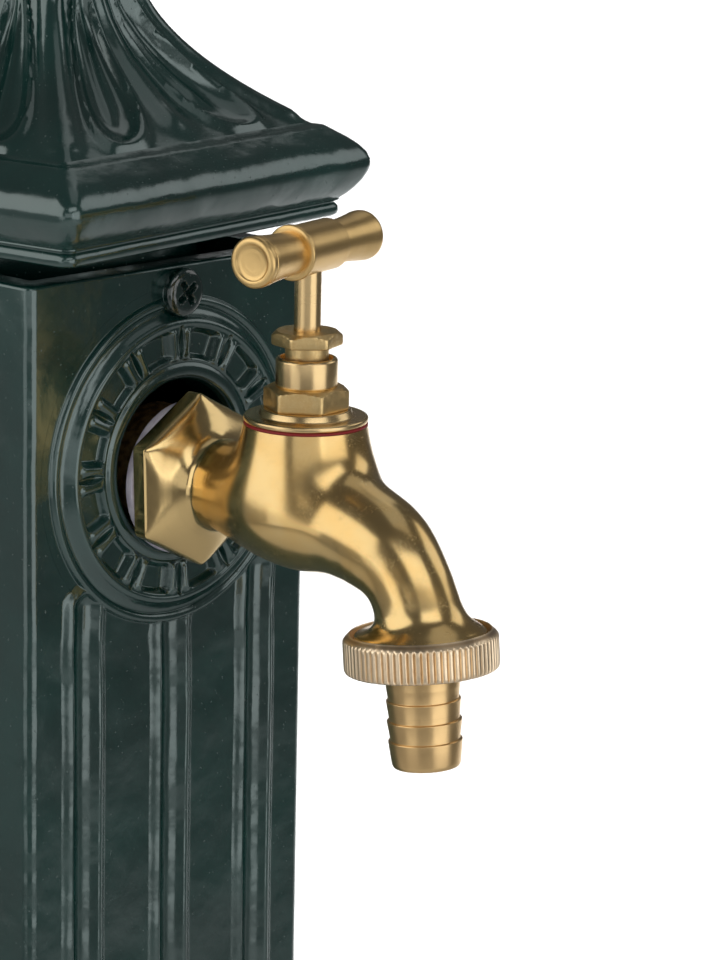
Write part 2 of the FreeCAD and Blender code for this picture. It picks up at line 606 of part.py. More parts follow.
def clip(inside):
    """The saddle clip: a strap round the riser with two ears screwed to the front wall."""
    reach = "(pipe_outer + clip_thick)"
    low = "clip_height - clip_width / 2"
    ears = box("2 * (%s + clip_ear)" % reach, "clip_thick", "clip_width",
               y=inside + " + clip_thick / 2", z=low)
    saddle = box("2 * " + reach, "%s - %s" % (RISER_Y, inside), "clip_width",
                 y="(%s + %s) / 2" % (RISER_Y, inside), z=low)
    hoop = rod(reach, "clip_width", y=RISER_Y, z=low)
    gap = "(pipe_outer + running_gap)"
    holes = [rod("clip_screw + 0.1", "clip_thick + 2", "%d * (%s + clip_ear / 2)" % (x, reach),
                 inside + " + clip_thick + 1", "clip_height", "90") for x in (-1, 1)]
    thing = cut(
        fuse(ears, saddle, hoop),
        rod(gap, "clip_width", y=RISER_Y, z=low),
        box("2 * " + gap, "%s - %s" % (RISER_Y, inside), "clip_width",
            y="(%s + %s) / 2" % (RISER_Y, inside), z=low),
        *holes,
    )
    part("pipe_clip", thing)


# Heights on the valve's upright axis
BODY_TOP = "(%s + barrel_rise)" % INLET
BONNET = "(%s + washer_thick)" % BODY_TOP
HEX_FOOT = "(%s + bonnet_flange_thick + bonnet_boss_thick)" % BONNET
CUP_FOOT = "(%s + bonnet_hex_thick)" % HEX_FOOT
CUP_TOP = "(%s + bonnet_cup_rise)" % CUP_FOOT
GLAND = "(%s + gland_lift)" % CUP_TOP
SEAT = "(%s + seat_rise)" % INLET
STEM_FOOT = "(%s + rubber_thick + jumper_disc_thick + 0.2)" % SEAT


def spout_path():
    """Stations along the spout: point, direction and radius, from the barrel's middle to the collar."""
    fall = math.radians(size("spout_fall"))
    start = Vector(0, size(VALVE_Y), size(INLET))
    ahead = Vector(0, -math.cos(fall), -math.sin(fall))
    bend_from = start + ahead * size("spout_run")
    inward = Vector(0, math.sin(fall), -math.cos(fall))
    centre = bend_from + inward * size("spout_bend")
    total = math.radians(90 - size("nozzle_tilt")) - fall
    stations = [
        (start + ahead * size("barrel / 3"), ahead, size("spout_root")),
        (start + ahead * size("spout_run * 0.66"), ahead, size("spout_root * 0.92")),
    ]
    bend = (
        (0, "spout_waist * 1.16"), (0.12, "spout_waist * 1.07"), (0.27, "spout_waist * 1.01"),
        (0.42, "spout_waist"), (0.56, "spout_waist"), (0.69, "spout_waist * 1.02"),
        (0.8, "spout_waist * 0.7 + nozzle_collar * 0.3"), (0.9, "spout_waist * 0.35 + nozzle_collar * 0.65"),
        (1, "nozzle_collar"),
    )
    for share, radius in bend:
        angle = share * total
        heading = ahead * math.cos(angle) + inward * math.sin(angle)
        outward = ahead * math.sin(angle) - inward * math.cos(angle)
        stations.append((centre + outward * size("spout_bend"), heading, size(radius)))
    return stations


def ring_loft(stations):
    """A solid through circles, each with its own middle, direction and radius, in straight bands."""
    wires = []
    for middle, heading, radius in stations:
        wires.append(Part.Wire(Part.Circle(middle, heading, radius).toShape()))
    return Part.makeLoft(wires, True, True)


def shape_part(label, shape):
    """A piece whose shape is worked out by the functions here."""
    thing = doc.addObject("Part::Feature", "Shaped")
    thing.Shape = shape
    return part(label, thing)


def nozzle():
    """The end of the spout, where the union nut screws on: its middle and its direction."""
    middle, heading, _ = spout_path()[-1]
    return middle, heading


def forward_rod(radius, start, length, height):
    """A cylinder along the inlet's axis, out from the wall; start is the distance from the post's face."""
    foot = Vector(0, -size("post_width / 2") - start, height)
    return Part.makeCylinder(radius, length, foot, Vector(0, -1, 0))


def tap_body():
    """The tap's casting: hexagonal flange, horn neck, valve barrel and S-bent spout, with its water ways."""
    inlet, seat = size(INLET), size(SEAT)
    valve = Vector(0, size(VALVE_Y), inlet)
    back = size("boss_proud + ring_thick")
    flange_radius = size("flange_flat / sqrt(3)")
    forward = Vector(0, -1, 0)
    wall = -size("post_width / 2")

    def ahead(distance):
        return Vector(0, wall - distance, inlet)

    corners = []
    for number in range(7):
        angle = math.radians(90 + size("flange_turn") + 60 * number)
        corners.append(ahead(back) + Vector(math.cos(angle), 0, math.sin(angle)) * flange_radius)
    front = back + size("flange_thick + flange_dome")
    flange = Part.Face(Part.makePolygon(corners)).extrude(forward * (front - back))
    rim = size("flange_thick")
    dome = Part.makeCylinder(flange_radius + 0.1, rim, ahead(back), forward).fuse(ring_loft([
        (ahead(back + rim), forward, flange_radius + 0.1),
        (ahead(back + rim + size("flange_dome * 0.45")), forward, flange_radius * 0.86),
        (ahead(front), forward, size("neck + 0.6")),
    ]))
    flange = flange.common(dome)
    out = size("valve_out")
    horn = []
    for number in range(8):
        share = number / 7
        swell = share ** 2 * (3 - 2 * share)
        middle = ahead(front + 1 + (out - front - 1) * share)
        horn.append((middle, forward, size("neck") * (1 - swell) + size("barrel * 0.97") * swell))
    neck = ring_loft([(ahead(back + 1), forward, size("neck"))] + horn)
    barrel = barrel_shape(valve)
    spout = ring_loft(spout_path())
    middle, heading = nozzle()
    thread = Part.makeCylinder(size("nozzle_thread"), size("nozzle_length"), middle, heading)
    tail = forward_rod(size("thread"), back - size("tail_length") - 2, size("tail_length") + 3, inlet)
    body = flange.fuse([neck, barrel, spout, thread, tail])
    bore = size("tap_bore")
    start = back - size("tail_length") - 3
    chamber_edge = out - size("chamber")
    way_in = forward_rod(bore, start, chamber_edge - start - 3, inlet)
    sunk = seat - size("seat_thick") - bore
    upright = Vector(0, 0, 1)
    lower = Part.makeCylinder(size("seat_bore"), bore * 1.5, Vector(0, valve.y, seat - bore * 1.5), upright)
    bend = Part.makeCylinder(bore * 0.8, out * 0.5, Vector(0, wall - out * 0.48, inlet - 1.2),
                             Vector(0, -1, (sunk - inlet) / out).normalize())
    chamber = Part.makeCylinder(size("chamber"), size("barrel_rise") - size("seat_rise") + 1,
                                Vector(0, valve.y, seat), upright)
    mouth = Part.makeCylinder(size("thread + thread_gap"), size("bonnet_tail + 1"),
                              Vector(0, valve.y, inlet + size("barrel_rise - bonnet_tail")), upright)
    cavity = way_in.fuse([lower, bend, chamber, mouth])
    body = body.cut(cavity).cut(way_out(valve))
    return shape_part("tap_body", body.removeSplitter())


def barrel_shape(valve):
    """The valve barrel: a round that swells downwards from its rim and ends in a half ball."""
    top, full = size("barrel_top"), size("barrel")
    rise = size("barrel_rise")
    rim = Part.LineSegment(Vector(0, 0, rise), Vector(top, 0, rise))
    side = Part.Arc(Vector(top, 0, rise), Vector(top * 0.4 + full * 0.6, 0, rise * 0.52), Vector(full, 0, 0))
    bowl = Part.Arc(Vector(full, 0, 0), Vector(full * math.sqrt(0.5), 0, -full * math.sqrt(0.5)),
                    Vector(0, 0, -full))
    axis = Part.LineSegment(Vector(0, 0, -full), Vector(0, 0, rise))
    wire = Part.Wire([edge.toShape() for edge in (rim, side, bowl, axis)])
    solid = Part.Face(wire).revolve(Vector(0, 0, 0), Vector(0, 0, 1), 360)
    solid.translate(valve)
    return solid


def way_out(valve):
    """The water way from the chamber down the spout: a straight bore, a bent one and a wide mouth."""
    radius = size("spout_bore")
    path = spout_path()
    bend_from, heading, _ = path[2]  # where the straight part ends
    end, down, _ = path[-1]
    start = Vector(0, valve.y, size(SEAT) + radius + 0.2)
    first = bend_from - start
    straight = Part.makeCylinder(radius, first.Length, start, first)
    knee = Part.makeSphere(radius, bend_from)
    circle = Part.Face(Part.Wire(Part.Circle(bend_from, heading, radius).toShape()))
    fall = math.radians(size("spout_fall"))
    centre = Vector(0, size(VALVE_Y), size(INLET))
    centre += Vector(0, -math.cos(fall), -math.sin(fall)) * size("spout_run")
    centre += Vector(0, math.sin(fall), -math.cos(fall)) * size("spout_bend")
    swing = math.degrees(heading.getAngle(down))
    bent = circle.revolve(centre, Vector(1, 0, 0), swing)
    length = size("nozzle_length")
    mouth = Part.makeCylinder(size("nozzle_bore"), length + 1.5, end - down * 1, down)
    return straight.fuse([knee, bent, mouth])


def headgear():
    """The red fibre washer, the bonnet with its hexagon and cup, the packing and the gland nut."""
    y = VALVE_Y
    steps = [("thread + 0.1", "0"), ("bonnet_flange - 0.02", "0"), ("bonnet_flange - 0.02", "washer_thick"),
             ("thread + 0.1", "washer_thick")]
    turned("bonnet_washer", steps, y=y, z=BODY_TOP)
    profile = [
        ("stem_thread + running_gap", "-" + expression("bonnet_tail + washer_thick - 0.4")),
        ("thread", "-" + expression("bonnet_tail + washer_thick - 0.4")), ("thread", "0"),
        ("bonnet_flange", "0"), ("bonnet_flange", "bonnet_flange_thick"),
        ("bonnet_boss", "bonnet_flange_thick"),
        ("bonnet_boss * 0.93", "bonnet_flange_thick + bonnet_boss_thick"),
        ("bonnet_cup", "bonnet_flange_thick + bonnet_boss_thick"),
        ("bonnet_cup", "%s - %s" % (CUP_TOP, BONNET)),
        ("bonnet_cup_bore", "%s - %s" % (CUP_TOP, BONNET)),
        ("bonnet_cup_bore", "%s - %s - bonnet_cup_depth" % (CUP_TOP, BONNET)),
        ("stem + running_gap", "%s - %s - bonnet_cup_depth" % (CUP_TOP, BONNET)),
        ("stem + running_gap", "%s - %s - bonnet_cup_depth - 2" % (CUP_TOP, BONNET)),
        ("stem_thread + running_gap", "%s - %s - bonnet_cup_depth - 2" % (CUP_TOP, BONNET)),
    ]
    round_part = turned("", profile, y=y, z=BONNET)
    corner = new_body("Chamfer")
    revolve(corner, sketch_on(corner, "XZ_Plane", "0", "0", [
        ("0", "0"), ("bonnet_hex_flat * 0.56", "0"),
        ("bonnet_hex_flat * 0.58", "bonnet_hex_thick - 0.5"), ("bonnet_hex_flat * 0.52", "bonnet_hex_thick"),
        ("0", "bonnet_hex_thick")]))
    place(corner, y=y, z=HEX_FOOT)
    nut = common(hexagon("bonnet_hex_flat", "bonnet_hex_thick", y=y, z=HEX_FOOT, turn="bonnet_turn"), corner)
    nut = cut(nut, rod("bonnet_cup - 0.5", "bonnet_hex_thick", y=y, z=HEX_FOOT))
    part("bonnet", fuse(round_part, nut))
    packing_foot = "(%s - bonnet_cup_depth)" % CUP_TOP
    packing = "(bonnet_cup_depth - gland_reach)"
    part("gland_packing", cut(
        rod("bonnet_cup_bore - running_gap", packing, y=y, z=packing_foot),
        rod("stem + running_gap", packing, y=y, z=packing_foot),
    ))
    bevel = new_body("Bevel")
    revolve(bevel, sketch_on(bevel, "XZ_Plane", "0", "0", [
        ("0", "0"), ("gland_flat * 0.5", "0"), ("gland_flat * 0.56", "0.6"),
        ("gland_flat * 0.58", "gland_thick - 0.9"), ("gland_flat * 0.47", "gland_thick"),
        ("0", "gland_thick")]))
    place(bevel, y=y, z=GLAND)
    top = common(hexagon("gland_flat", "gland_thick", y=y, z=GLAND, turn="gland_turn"), bevel)
    neck = rod("gland_neck", "gland_lift + gland_reach", y=y, z=CUP_TOP + " - gland_reach")
    part("gland_nut", cut(
        fuse(top, neck),
        rod("stem + running_gap", "gland_lift + gland_reach + gland_thick", y=y,
            z=CUP_TOP + " - gland_reach"),
    ))


def handle():
    """The spindle with its cross hub, and the waisted bar pressed through the hub."""
    y = VALVE_Y
    centre = "(%s + handle_rise)" % INLET
    lower = rod("stem_thread", "stem_thread_length", y=y, z=STEM_FOOT)
    stem = rod("stem", "%s - %s" % (centre, STEM_FOOT), y=y, z=STEM_FOOT)
    hub = cross_piece([
        ("0", "-hub_length / 2"), ("hub_ring", "-hub_length / 2"),
        ("hub_ring", "hub_ring_length - hub_length / 2"), ("hub", "hub_ring_length - hub_length / 2"),
        ("hub", "hub_length / 2"), ("0", "hub_length / 2")], centre)
    core = cross_piece(rectangle("0", "-hub_length", "bar_core + running_gap", "hub_length"), centre)
    socket = rod("jumper_stem + running_gap", "jumper_stem_rise + 1", y=y, z=STEM_FOOT)
    part("spindle", cut(fuse(lower, stem, hub), core, socket))
    half, near = "bar_length / 2", "(hub_length / 2 + 0.1)"
    bar = cross_piece([
        ("0", "-" + half + " + bar_dish"), ("bar_end - 2 * bar_rim", "-" + half + " + bar_dish"),
        ("bar_end - 2 * bar_rim", "-" + half), ("bar_end - bar_rim", "-" + half),
        ("bar_end", "-" + half + " + bar_rim"), ("bar_end", "-" + half + " + 3 * bar_rim"),
        ("bar_root", "-" + near), ("bar_core", "-" + near), ("bar_core", near), ("bar_root", near),
        ("bar_end", half + " - 3 * bar_rim"), ("bar_end", half + " - bar_rim"),
        ("bar_end - bar_rim", half), ("bar_end - 2 * bar_rim", half),
        ("bar_end - 2 * bar_rim", half + " - bar_dish"), ("0", half + " - bar_dish"),
    ], centre)
    part("handle_bar", bar)


def cross_piece(steps, height):
    """A turned piece that lies across the valve's axis, swung round by the handle's angle at rest."""
    body = new_body("Cross")
    revolve(body, sketch_on(body, "YZ_Plane", "0", "0", steps), "V_Axis")
    lying = doc.addObject("Part::Compound", "Lying")
    lying.Links = [place(body, turn="90", axis=(0, 1, 0))]
    return place(lying, y=VALVE_Y, z=height, turn="handle_turn")


def valve_disc():
    """The jumper that rides loose in the spindle, its rubber washer and the nut that holds it."""
    y = VALVE_Y
    disc_foot = "(%s + rubber_thick)" % SEAT
    stud_foot = "(%s - rubber_nut_thick - 0.6)" % SEAT
    part("jumper", fuse(
        rod("jumper_disc", "jumper_disc_thick", y=y, z=disc_foot),
        rod("jumper_stem", "jumper_stem_rise + jumper_disc_thick", y=y, z=disc_foot),
        rod("jumper_stem - 0.2", "rubber_thick + rubber_nut_thick + 0.6", y=y, z=stud_foot),
    ))
    part("valve_washer", cut(rod("rubber", "rubber_thick - 0.05", y=y, z=SEAT + " + 0.05"),
                             rod("jumper_stem - 0.15", "rubber_thick", y=y, z=SEAT)))
    nut_foot = "(%s - rubber_nut_thick + 0.05)" % SEAT
    part("valve_nut", cut(hexagon("rubber_nut_flat", "rubber_nut_thick", y=y, z=nut_foot),
                          rod("jumper_stem - 0.15", "rubber_nut_thick", y=y, z=nut_foot)))


def wall_ring():
    """The pale sealing ring between the elbow's boss and the tap's flange."""
    part("wall_ring", cut(
        rod("ring_radius", "ring_thick", y="-post_width / 2 - boss_proud", z=INLET, turn="90"),
        rod("thread + thread_gap", "ring_thick", y="-post_width / 2 - boss_proud", z=INLET, turn="90"),
    ))


def on_nozzle(thing, along):
    """Places a piece on the nozzle's axis, at a distance along it, pointing down the axis."""
    middle, heading = nozzle()
    thing.Placement = Placement(middle + heading * along, Rotation(Vector(0, 0, 1), heading))
    return thing


def hose_union():
    """The rubber seal, the barbed hose tail and the knurled union nut, in line with the nozzle."""
    seal_from = size("nozzle_length")
    tail_from = seal_from + size("seal_thick")
    seal = Part.makeCylinder(size("hose_flange"), size("seal_thick")).cut(
        Part.makeCylinder(size("seal_bore"), size("seal_thick")))
    on_nozzle(shape_part("hose_seal", seal), seal_from)
    level = "hose_flange_thick + nut_lip + hose_land"
    steps = [("hose_bore", "0"), ("hose_flange", "0"), ("hose_flange", "hose_flange_thick"),
             ("hose_radius", "hose_flange_thick"), ("hose_radius", level)]
    radius = "hose_radius"
    for barb in range(3):
        steps.append(("%s - hose_barb_step" % radius, level))
        radius = "hose_radius - %d * (hose_radius - hose_end) / 3" % (barb + 1)
        level = "hose_flange_thick + nut_lip + hose_land + %d * hose_barb" % (barb + 1)
        steps.append((radius, level))
    tip = "hose_flange_thick + nut_lip + hose_length"
    steps += [("hose_end - hose_barb_step", level), ("hose_end - hose_barb_step", tip), ("hose_bore", tip)]
    on_nozzle(turned("hose_tail", steps), tail_from)
    on_nozzle(shape_part("union_nut", knurled_nut()), tail_from + size("hose_flange_thick") + size("nut_lip")
              - size("nut_height"))


def knurled_nut():
    """The union nut: a toothed prism bevelled at its rims, bored for the thread, with a lip at its foot."""
    outer, tooth, height = size("nut_outer"), size("nut_tooth"), size("nut_height")
    teeth = int(size("nut_teeth"))
    points = []
    for number in range(2 * teeth + 1):
        reach = outer - (number % 2) * tooth
        angle = math.pi * number / teeth
        points.append(Vector(reach * math.cos(angle), reach * math.sin(angle), 0))
    blank = Part.Face(Part.makePolygon(points)).extrude(Vector(0, 0, height))
    bevel = size("nut_bevel")
    rim = outer - 2 * tooth
    sleeve = Part.makeCone(rim, outer + 0.2, bevel).fuse([
        Part.makeCylinder(outer + 0.2, height - 1.4 * bevel, Vector(0, 0, bevel)),
        Part.makeCone(outer + 0.2, rim, 0.4 * bevel, Vector(0, 0, height - 0.4 * bevel)),
    ])
    blank = blank.common(sleeve)
    lip = size("nut_lip")
    thread = size("nozzle_thread + nut_gap")
    blank = blank.cut([
        Part.makeCylinder(thread, height - lip),
        Part.makeCylinder(size("nut_mouth"), size("nut_mouth_depth")),
        Part.makeCylinder(size("hose_radius + nut_gap"), height),
    ])
    return blank.removeSplitter()


base_foot()
post()
cap()
finial()
screws()
water_way()
wall_ring()
tap_body()
headgear()
handle()
valve_disc()
hose_union()
doc.recompute()

for thing in doc.Objects:
    if any(state in ("Invalid", "Error") for state in thing.State):
        raise RuntimeError("%s (%s) did not rebuild" % (thing.Label, thing.Name))
for thing in PARTS:
    if thing.Shape.isNull() or not thing.Shape.isValid():
        raise RuntimeError("%s has no valid shape" % thing.Label)
    if not thing.Shape.Solids:
        raise RuntimeError("%s holds no solid" % thing.Label)

os.makedirs("parts", exist_ok=True)
for thing in PARTS:
    thing.Shape.exportStep("parts/%s.step" % thing.Label)
    bounds = thing.Shape.BoundBox
    print("%-15s %d solids %9.0f mm3  x %7.1f %7.1f  y %7.1f %7.1f  z %7.1f %7.1f" % (
        thing.Label, len(thing.Shape.Solids), thing.Shape.Volume, bounds.XMin, bounds.XMax,
        bounds.YMin, bounds.YMax, bounds.ZMin, bounds.ZMax))
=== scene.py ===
"""A standing fountain: a green enamelled post with cap and rosette, and a brass tap with a hose union.

Every new piece is a surface worked out with numpy in millimetres and put into a mesh in metres.
+Z is up, the origin is the middle of the underside, and the tap looks along -Y.
"""
import math

import bmesh
import bpy
import numpy as np
from bpy.props import FloatProperty, FloatVectorProperty, IntProperty, PointerProperty
from mathutils import Matrix, Vector


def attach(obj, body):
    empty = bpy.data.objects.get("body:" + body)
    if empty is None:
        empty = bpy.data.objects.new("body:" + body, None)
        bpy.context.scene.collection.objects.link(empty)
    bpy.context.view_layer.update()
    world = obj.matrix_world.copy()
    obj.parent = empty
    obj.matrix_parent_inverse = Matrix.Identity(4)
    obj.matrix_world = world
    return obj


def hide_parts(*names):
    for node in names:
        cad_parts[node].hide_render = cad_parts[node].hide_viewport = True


bl_info = {
    "name": "Standing fountain",
    "version": (1, 0, 0),
    "blender": (4, 5, 0),
    "location": "3D View > Sidebar > Fountain",
    "description": "Builds a standing fountain with a brass tap round its CAD frame, and its studio",
    "category": "Object",
}

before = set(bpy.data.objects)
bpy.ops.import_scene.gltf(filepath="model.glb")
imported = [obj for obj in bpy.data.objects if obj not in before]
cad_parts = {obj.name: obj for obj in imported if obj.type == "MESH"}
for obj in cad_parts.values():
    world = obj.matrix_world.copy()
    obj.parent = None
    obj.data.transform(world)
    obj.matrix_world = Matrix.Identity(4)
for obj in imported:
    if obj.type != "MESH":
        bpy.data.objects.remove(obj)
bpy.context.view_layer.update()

# Main sizes, in millimetres

MM = 0.001
FACE = 43.0              # the post's flat faces, from its middle
CORNER = 2.5             # rounding of the post's upright edges
FLAT = FACE - CORNER     # half the flat part of a face
POST_FOOT = 96.0
POST_TOP = 763.9
FACE_TOP = 763.2         # where the faces end and the top edge rounds over
CAP_SCREW = POST_TOP - 5.8
BASE_SCREW = POST_FOOT + 12
ROSE_HEIGHT = 720.0
INLET = 717.0            # height of the tap's inlet
VALVE_Y = -83.9          # the valve's upright axis
CAP_FOOT = 769.4


# Numbers and curves

def smooth_step(x, low, high):
    """0 below low, 1 above high, and a smooth S between them."""
    t = np.clip((x - low) / (high - low), 0.0, 1.0)
    return t * t * (3 - 2 * t)


def smooth_max(a, b, width):
    """The larger of two heights, with a fillet of about that width where they meet."""
    return 0.5 * (a + b + np.sqrt((a - b) ** 2 + width ** 2))


def soft_union(distances, reach):
    """The smallest of several distances with a fillet: minus reach times the log of the sum of
    exp(-distance / reach)."""
    distances = np.stack(distances, axis=-1)
    low = distances.min(axis=-1, keepdims=True)
    return low[..., 0] - reach * np.log(np.exp((low - distances) / reach).sum(axis=-1))


def rounded_box(across, up, blunt):
    """Distance outside a box with rounded corners, from how far a point is past the unrounded core."""
    return np.hypot(np.maximum(across, 0), np.maximum(up, 0)) + np.minimum(np.maximum(across, up), 0) - blunt


def through(x, knots):
    """A smooth curve through (x, y) knots: cubic pieces whose slopes follow the chords beside them."""
    xs, ys = np.array(knots, float).T
    chords = np.diff(ys) / np.diff(xs)
    product = chords[1:] * chords[:-1]
    inner = np.where(product > 0, 2 * product / (chords[1:] + chords[:-1] + 1e-12), 0)
    slope = np.concatenate([chords[:1], inner, chords[-1:]])
    x = np.clip(x, xs[0], xs[-1])
    i = np.clip(np.searchsorted(xs, x) - 1, 0, len(xs) - 2)
    wide = xs[i + 1] - xs[i]
    t = (x - xs[i]) / wide
    return ((2 * t ** 3 - 3 * t ** 2 + 1) * ys[i] + (t ** 3 - 2 * t ** 2 + t) * wide * slope[i]
            + (3 * t ** 2 - 2 * t ** 3) * ys[i + 1] + (t ** 3 - t ** 2) * wide * slope[i + 1])


def blurred(knots, width, step=0.02):
    """A fine table of the curve through the knots, averaged by a bell of that width to bend evenly."""
    reach = 4 * width
    x = np.arange(knots[0][0] - reach, knots[-1][0] + reach, step)
    bell = np.exp(-0.5 * (np.arange(-reach, reach + step / 2, step) / width) ** 2)
    half = len(bell) // 2
    y = np.convolve(np.pad(through(x, knots), half, mode="edge"), bell / bell.sum(), mode="same")
    return x, y[half:half + len(x)]


def rounded(corners, radii, steps=5):
    """A profile whose corners are rounded: each becomes a quadratic curve that starts its radius away."""
    corners = np.array(corners, float)
    points = [corners[:1]]
    t = np.linspace(0, 1, steps)[:, None]
    for before, corner, after, radius in zip(corners[:-2], corners[1:-1], corners[2:], radii):
        back, on = before - corner, after - corner
        back_length, on_length = np.linalg.norm(back), np.linalg.norm(on)
        reach = min(radius, back_length * 0.49, on_length * 0.49)
        start, end = corner + back / back_length * reach, corner + on / on_length * reach
        points.append((1 - t) ** 2 * start + 2 * t * (1 - t) * corner + t ** 2 * end)
    return np.concatenate(points + [corners[-1:]])


def even(corners, radius, steps=5):
    """A profile with the same rounding at every corner."""
    return rounded(corners, [radius] * (len(corners) - 2), steps)


def lifted(profile, by):
    """A profile of (radius, height) moved up."""
    return [(radius, height + by) for radius, height in profile]


def places(singles, *ranges):
    """Sorted places: single ones, and those of ranges of (start, end, step)."""
    return np.unique(np.concatenate([singles] + [np.arange(*item) for item in ranges]).round(4))


# Meshes

def grid_faces(rows, columns, wrap_rows=False, wrap_columns=False):
    """The quads of a grid of points, as four indices each; it may close on itself either way."""
    i = np.arange(rows if wrap_rows else rows - 1)[:, None]
    j = np.arange(columns if wrap_columns else columns - 1)[None, :]
    below, right = (i + 1) % rows, (j + 1) % columns
    corners = (i * columns + j, below * columns + j, below * columns + right, i * columns + right)
    return np.stack(np.broadcast_arrays(*corners), axis=-1).reshape(-1, 4)


def surface(points, wrap_rows=False, wrap_columns=True):
    """A grid of points, rows by columns by 3, as (points, quads)."""
    return points.reshape(-1, 3), grid_faces(*points.shape[:2], wrap_rows, wrap_columns)


def joined(parts):
    """Several (points, quads) as one."""
    starts = np.cumsum([0] + [len(points) for points, _ in parts])
    quads = [part_quads + start for (_, part_quads), start in zip(parts, starts)]
    return np.concatenate([points for points, _ in parts]), np.concatenate(quads)


def fill_mesh(mesh, points, quads):
    """Puts points in millimetres and quads into an empty mesh."""
    mesh.vertices.add(len(points))
    mesh.vertices.foreach_set("co", (points * MM).astype(np.float32).ravel())
    mesh.loops.add(quads.size)
    mesh.loops.foreach_set("vertex_index", quads.astype(np.int32).ravel())
    mesh.polygons.add(len(quads))
    mesh.polygons.foreach_set("loop_start", np.arange(0, quads.size, 4, dtype=np.int32))
    mesh.update(calc_edges=True)


def shown(name, mesh, finish, replaces=None, body="fountain", slot=None):
    """Makes a mesh a shown piece, with its finish, body and the CAD node that it stands for; slot is not
    used.
    """
    thing = bpy.data.objects.new(name, mesh)
    bpy.context.scene.collection.objects.link(thing)
    mesh.materials.append(FINISHES[finish])
    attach(thing, body)
    if replaces:
        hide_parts(replaces)


def piece(name, finish, parts, replaces=None, sharp=32.0, normals=None, **place):
    """A shown piece from surfaces.

    Doubles are merged, faces turned outwards and creases above the sharp angle kept; surfaces that come with
    normals stay as they are.
    """
    mesh = bpy.data.meshes.new(name)
    fill_mesh(mesh, *joined(parts))
    if normals is None:
        made = bmesh.new()
        made.from_mesh(mesh)
        bmesh.ops.remove_doubles(made, verts=made.verts, dist=2e-6)
        bmesh.ops.dissolve_degenerate(made, dist=1e-7, edges=made.edges)
        bmesh.ops.recalc_face_normals(made, faces=made.faces)
        made.to_mesh(mesh)
        made.free()
    mesh.shade_smooth()
    if normals is None:
        mesh.set_sharp_from_angle(angle=math.radians(sharp))
    else:
        mesh.normals_split_custom_set_from_vertices(normals.tolist())
    shown(name, mesh, finish, replaces, **place)


def spread(*columns):
    """Arrays of x, y and z, brought to one shape, as points."""
    return np.stack(np.broadcast_arrays(*columns), axis=-1)


def polar(radius, angle, height):
    """Points whose x and y are radius times cosine and sine of the angle."""
    return spread(radius * np.cos(angle), radius * np.sin(angle), height)


def round_turn(count):
    """That many even angles round a circle."""
    return np.linspace(0, 2 * np.pi, count, endpoint=False)


def unit(vectors):
    """The vectors brought to length 1."""
    return vectors / np.linalg.norm(vectors, axis=-1, keepdims=True)


def spun(points, angle):
    """Points turned about Z by an angle."""
    c, s = math.cos(angle), math.sin(angle)
    return points @ np.array([[c, s, 0], [-s, c, 0], [0, 0, 1]])


def stood(local, centre, axis):
    """Local points turned so that their Z lies along an axis, and moved to a centre."""
    turn = np.array(Vector((0, 0, 1)).rotation_difference(Vector(axis).normalized()).to_matrix())
    return local @ turn.T + np.array(centre, float)


def turned(profile, count=96, centre=(0, 0, 0), axis=(0, 0, 1)):
    """A profile of (radius, height) turned about an axis through a centre."""
    radius, height = np.asarray(profile, float).T[..., None]
    return surface(stood(polar(radius, round_turn(count), height), centre, axis))


def square_ring(half, corner, flat=2, bend=6):
    """Points round squares with rounded corners, anticlockwise from above; one half and one corner for each.

    On each flat the place runs evenly from -1 to 1 times (half - corner); round each corner the direction
    swings by 90 degrees. Returns the points, and the place of each along its side (2 on the corners).
    """
    half, corner = (np.asarray(item, float)[:, None] for item in (half, corner))
    run = np.linspace(-1, 1, flat)
    swing = np.linspace(0, np.pi / 2, bend + 2)[1:-1]
    x = np.concatenate([run * (half - corner), half - corner + corner * np.sin(swing)], axis=1)
    y = np.concatenate([-half + 0 * run, -(half - corner) - corner * np.cos(swing)], axis=1)
    side = spread(x, y, 0.0)
    sides = [spun(side, turn * np.pi / 2)[..., :2] for turn in range(4)]
    return np.concatenate(sides, axis=1), np.tile(np.concatenate([run, np.full(bend, 2.0)]), 4)


def moulded(profile, corner, flat=2, bend=6, turn=0.0):
    """A square moulding: a profile of (half width, height) run round, with a rounding for each row."""
    profile = np.asarray(profile, float)
    ring, _ = square_ring(profile[:, 0], np.broadcast_to(corner, len(profile)), flat, bend)
    return surface(spun(np.dstack([ring, np.broadcast_to(profile[:, 1:], ring.shape[:2])]), turn))


# Finishes

class Value:
    """A shader socket for use in Python arithmetic. Each operation adds a Math node to its finish."""

    def __init__(self, finish, socket):
        self.finish = finish
        self.socket = socket

    def math(self, operation, *others):
        return self.finish.node("ShaderNodeMath", {"operation": operation}, dict(enumerate((self,) + others)))

    def __add__(self, other):
        return self.math("ADD", other)

    def __sub__(self, other):
        return self.math("SUBTRACT", other)

    def __rsub__(self, other):
        return self.math("MULTIPLY_ADD", -1.0, other)

    def __mul__(self, other):
        return self.math("MULTIPLY", other)

    __radd__ = __add__
    __rmul__ = __mul__

    def rise(self, low, high):
        """0 below low, 1 above high and a smooth S between them."""
        settings = {"interpolation_type": "SMOOTHSTEP"}
        return self.finish.node("ShaderNodeMapRange", settings, {0: self, 1: low, 2: high, 3: 0.0, 4: 1.0})


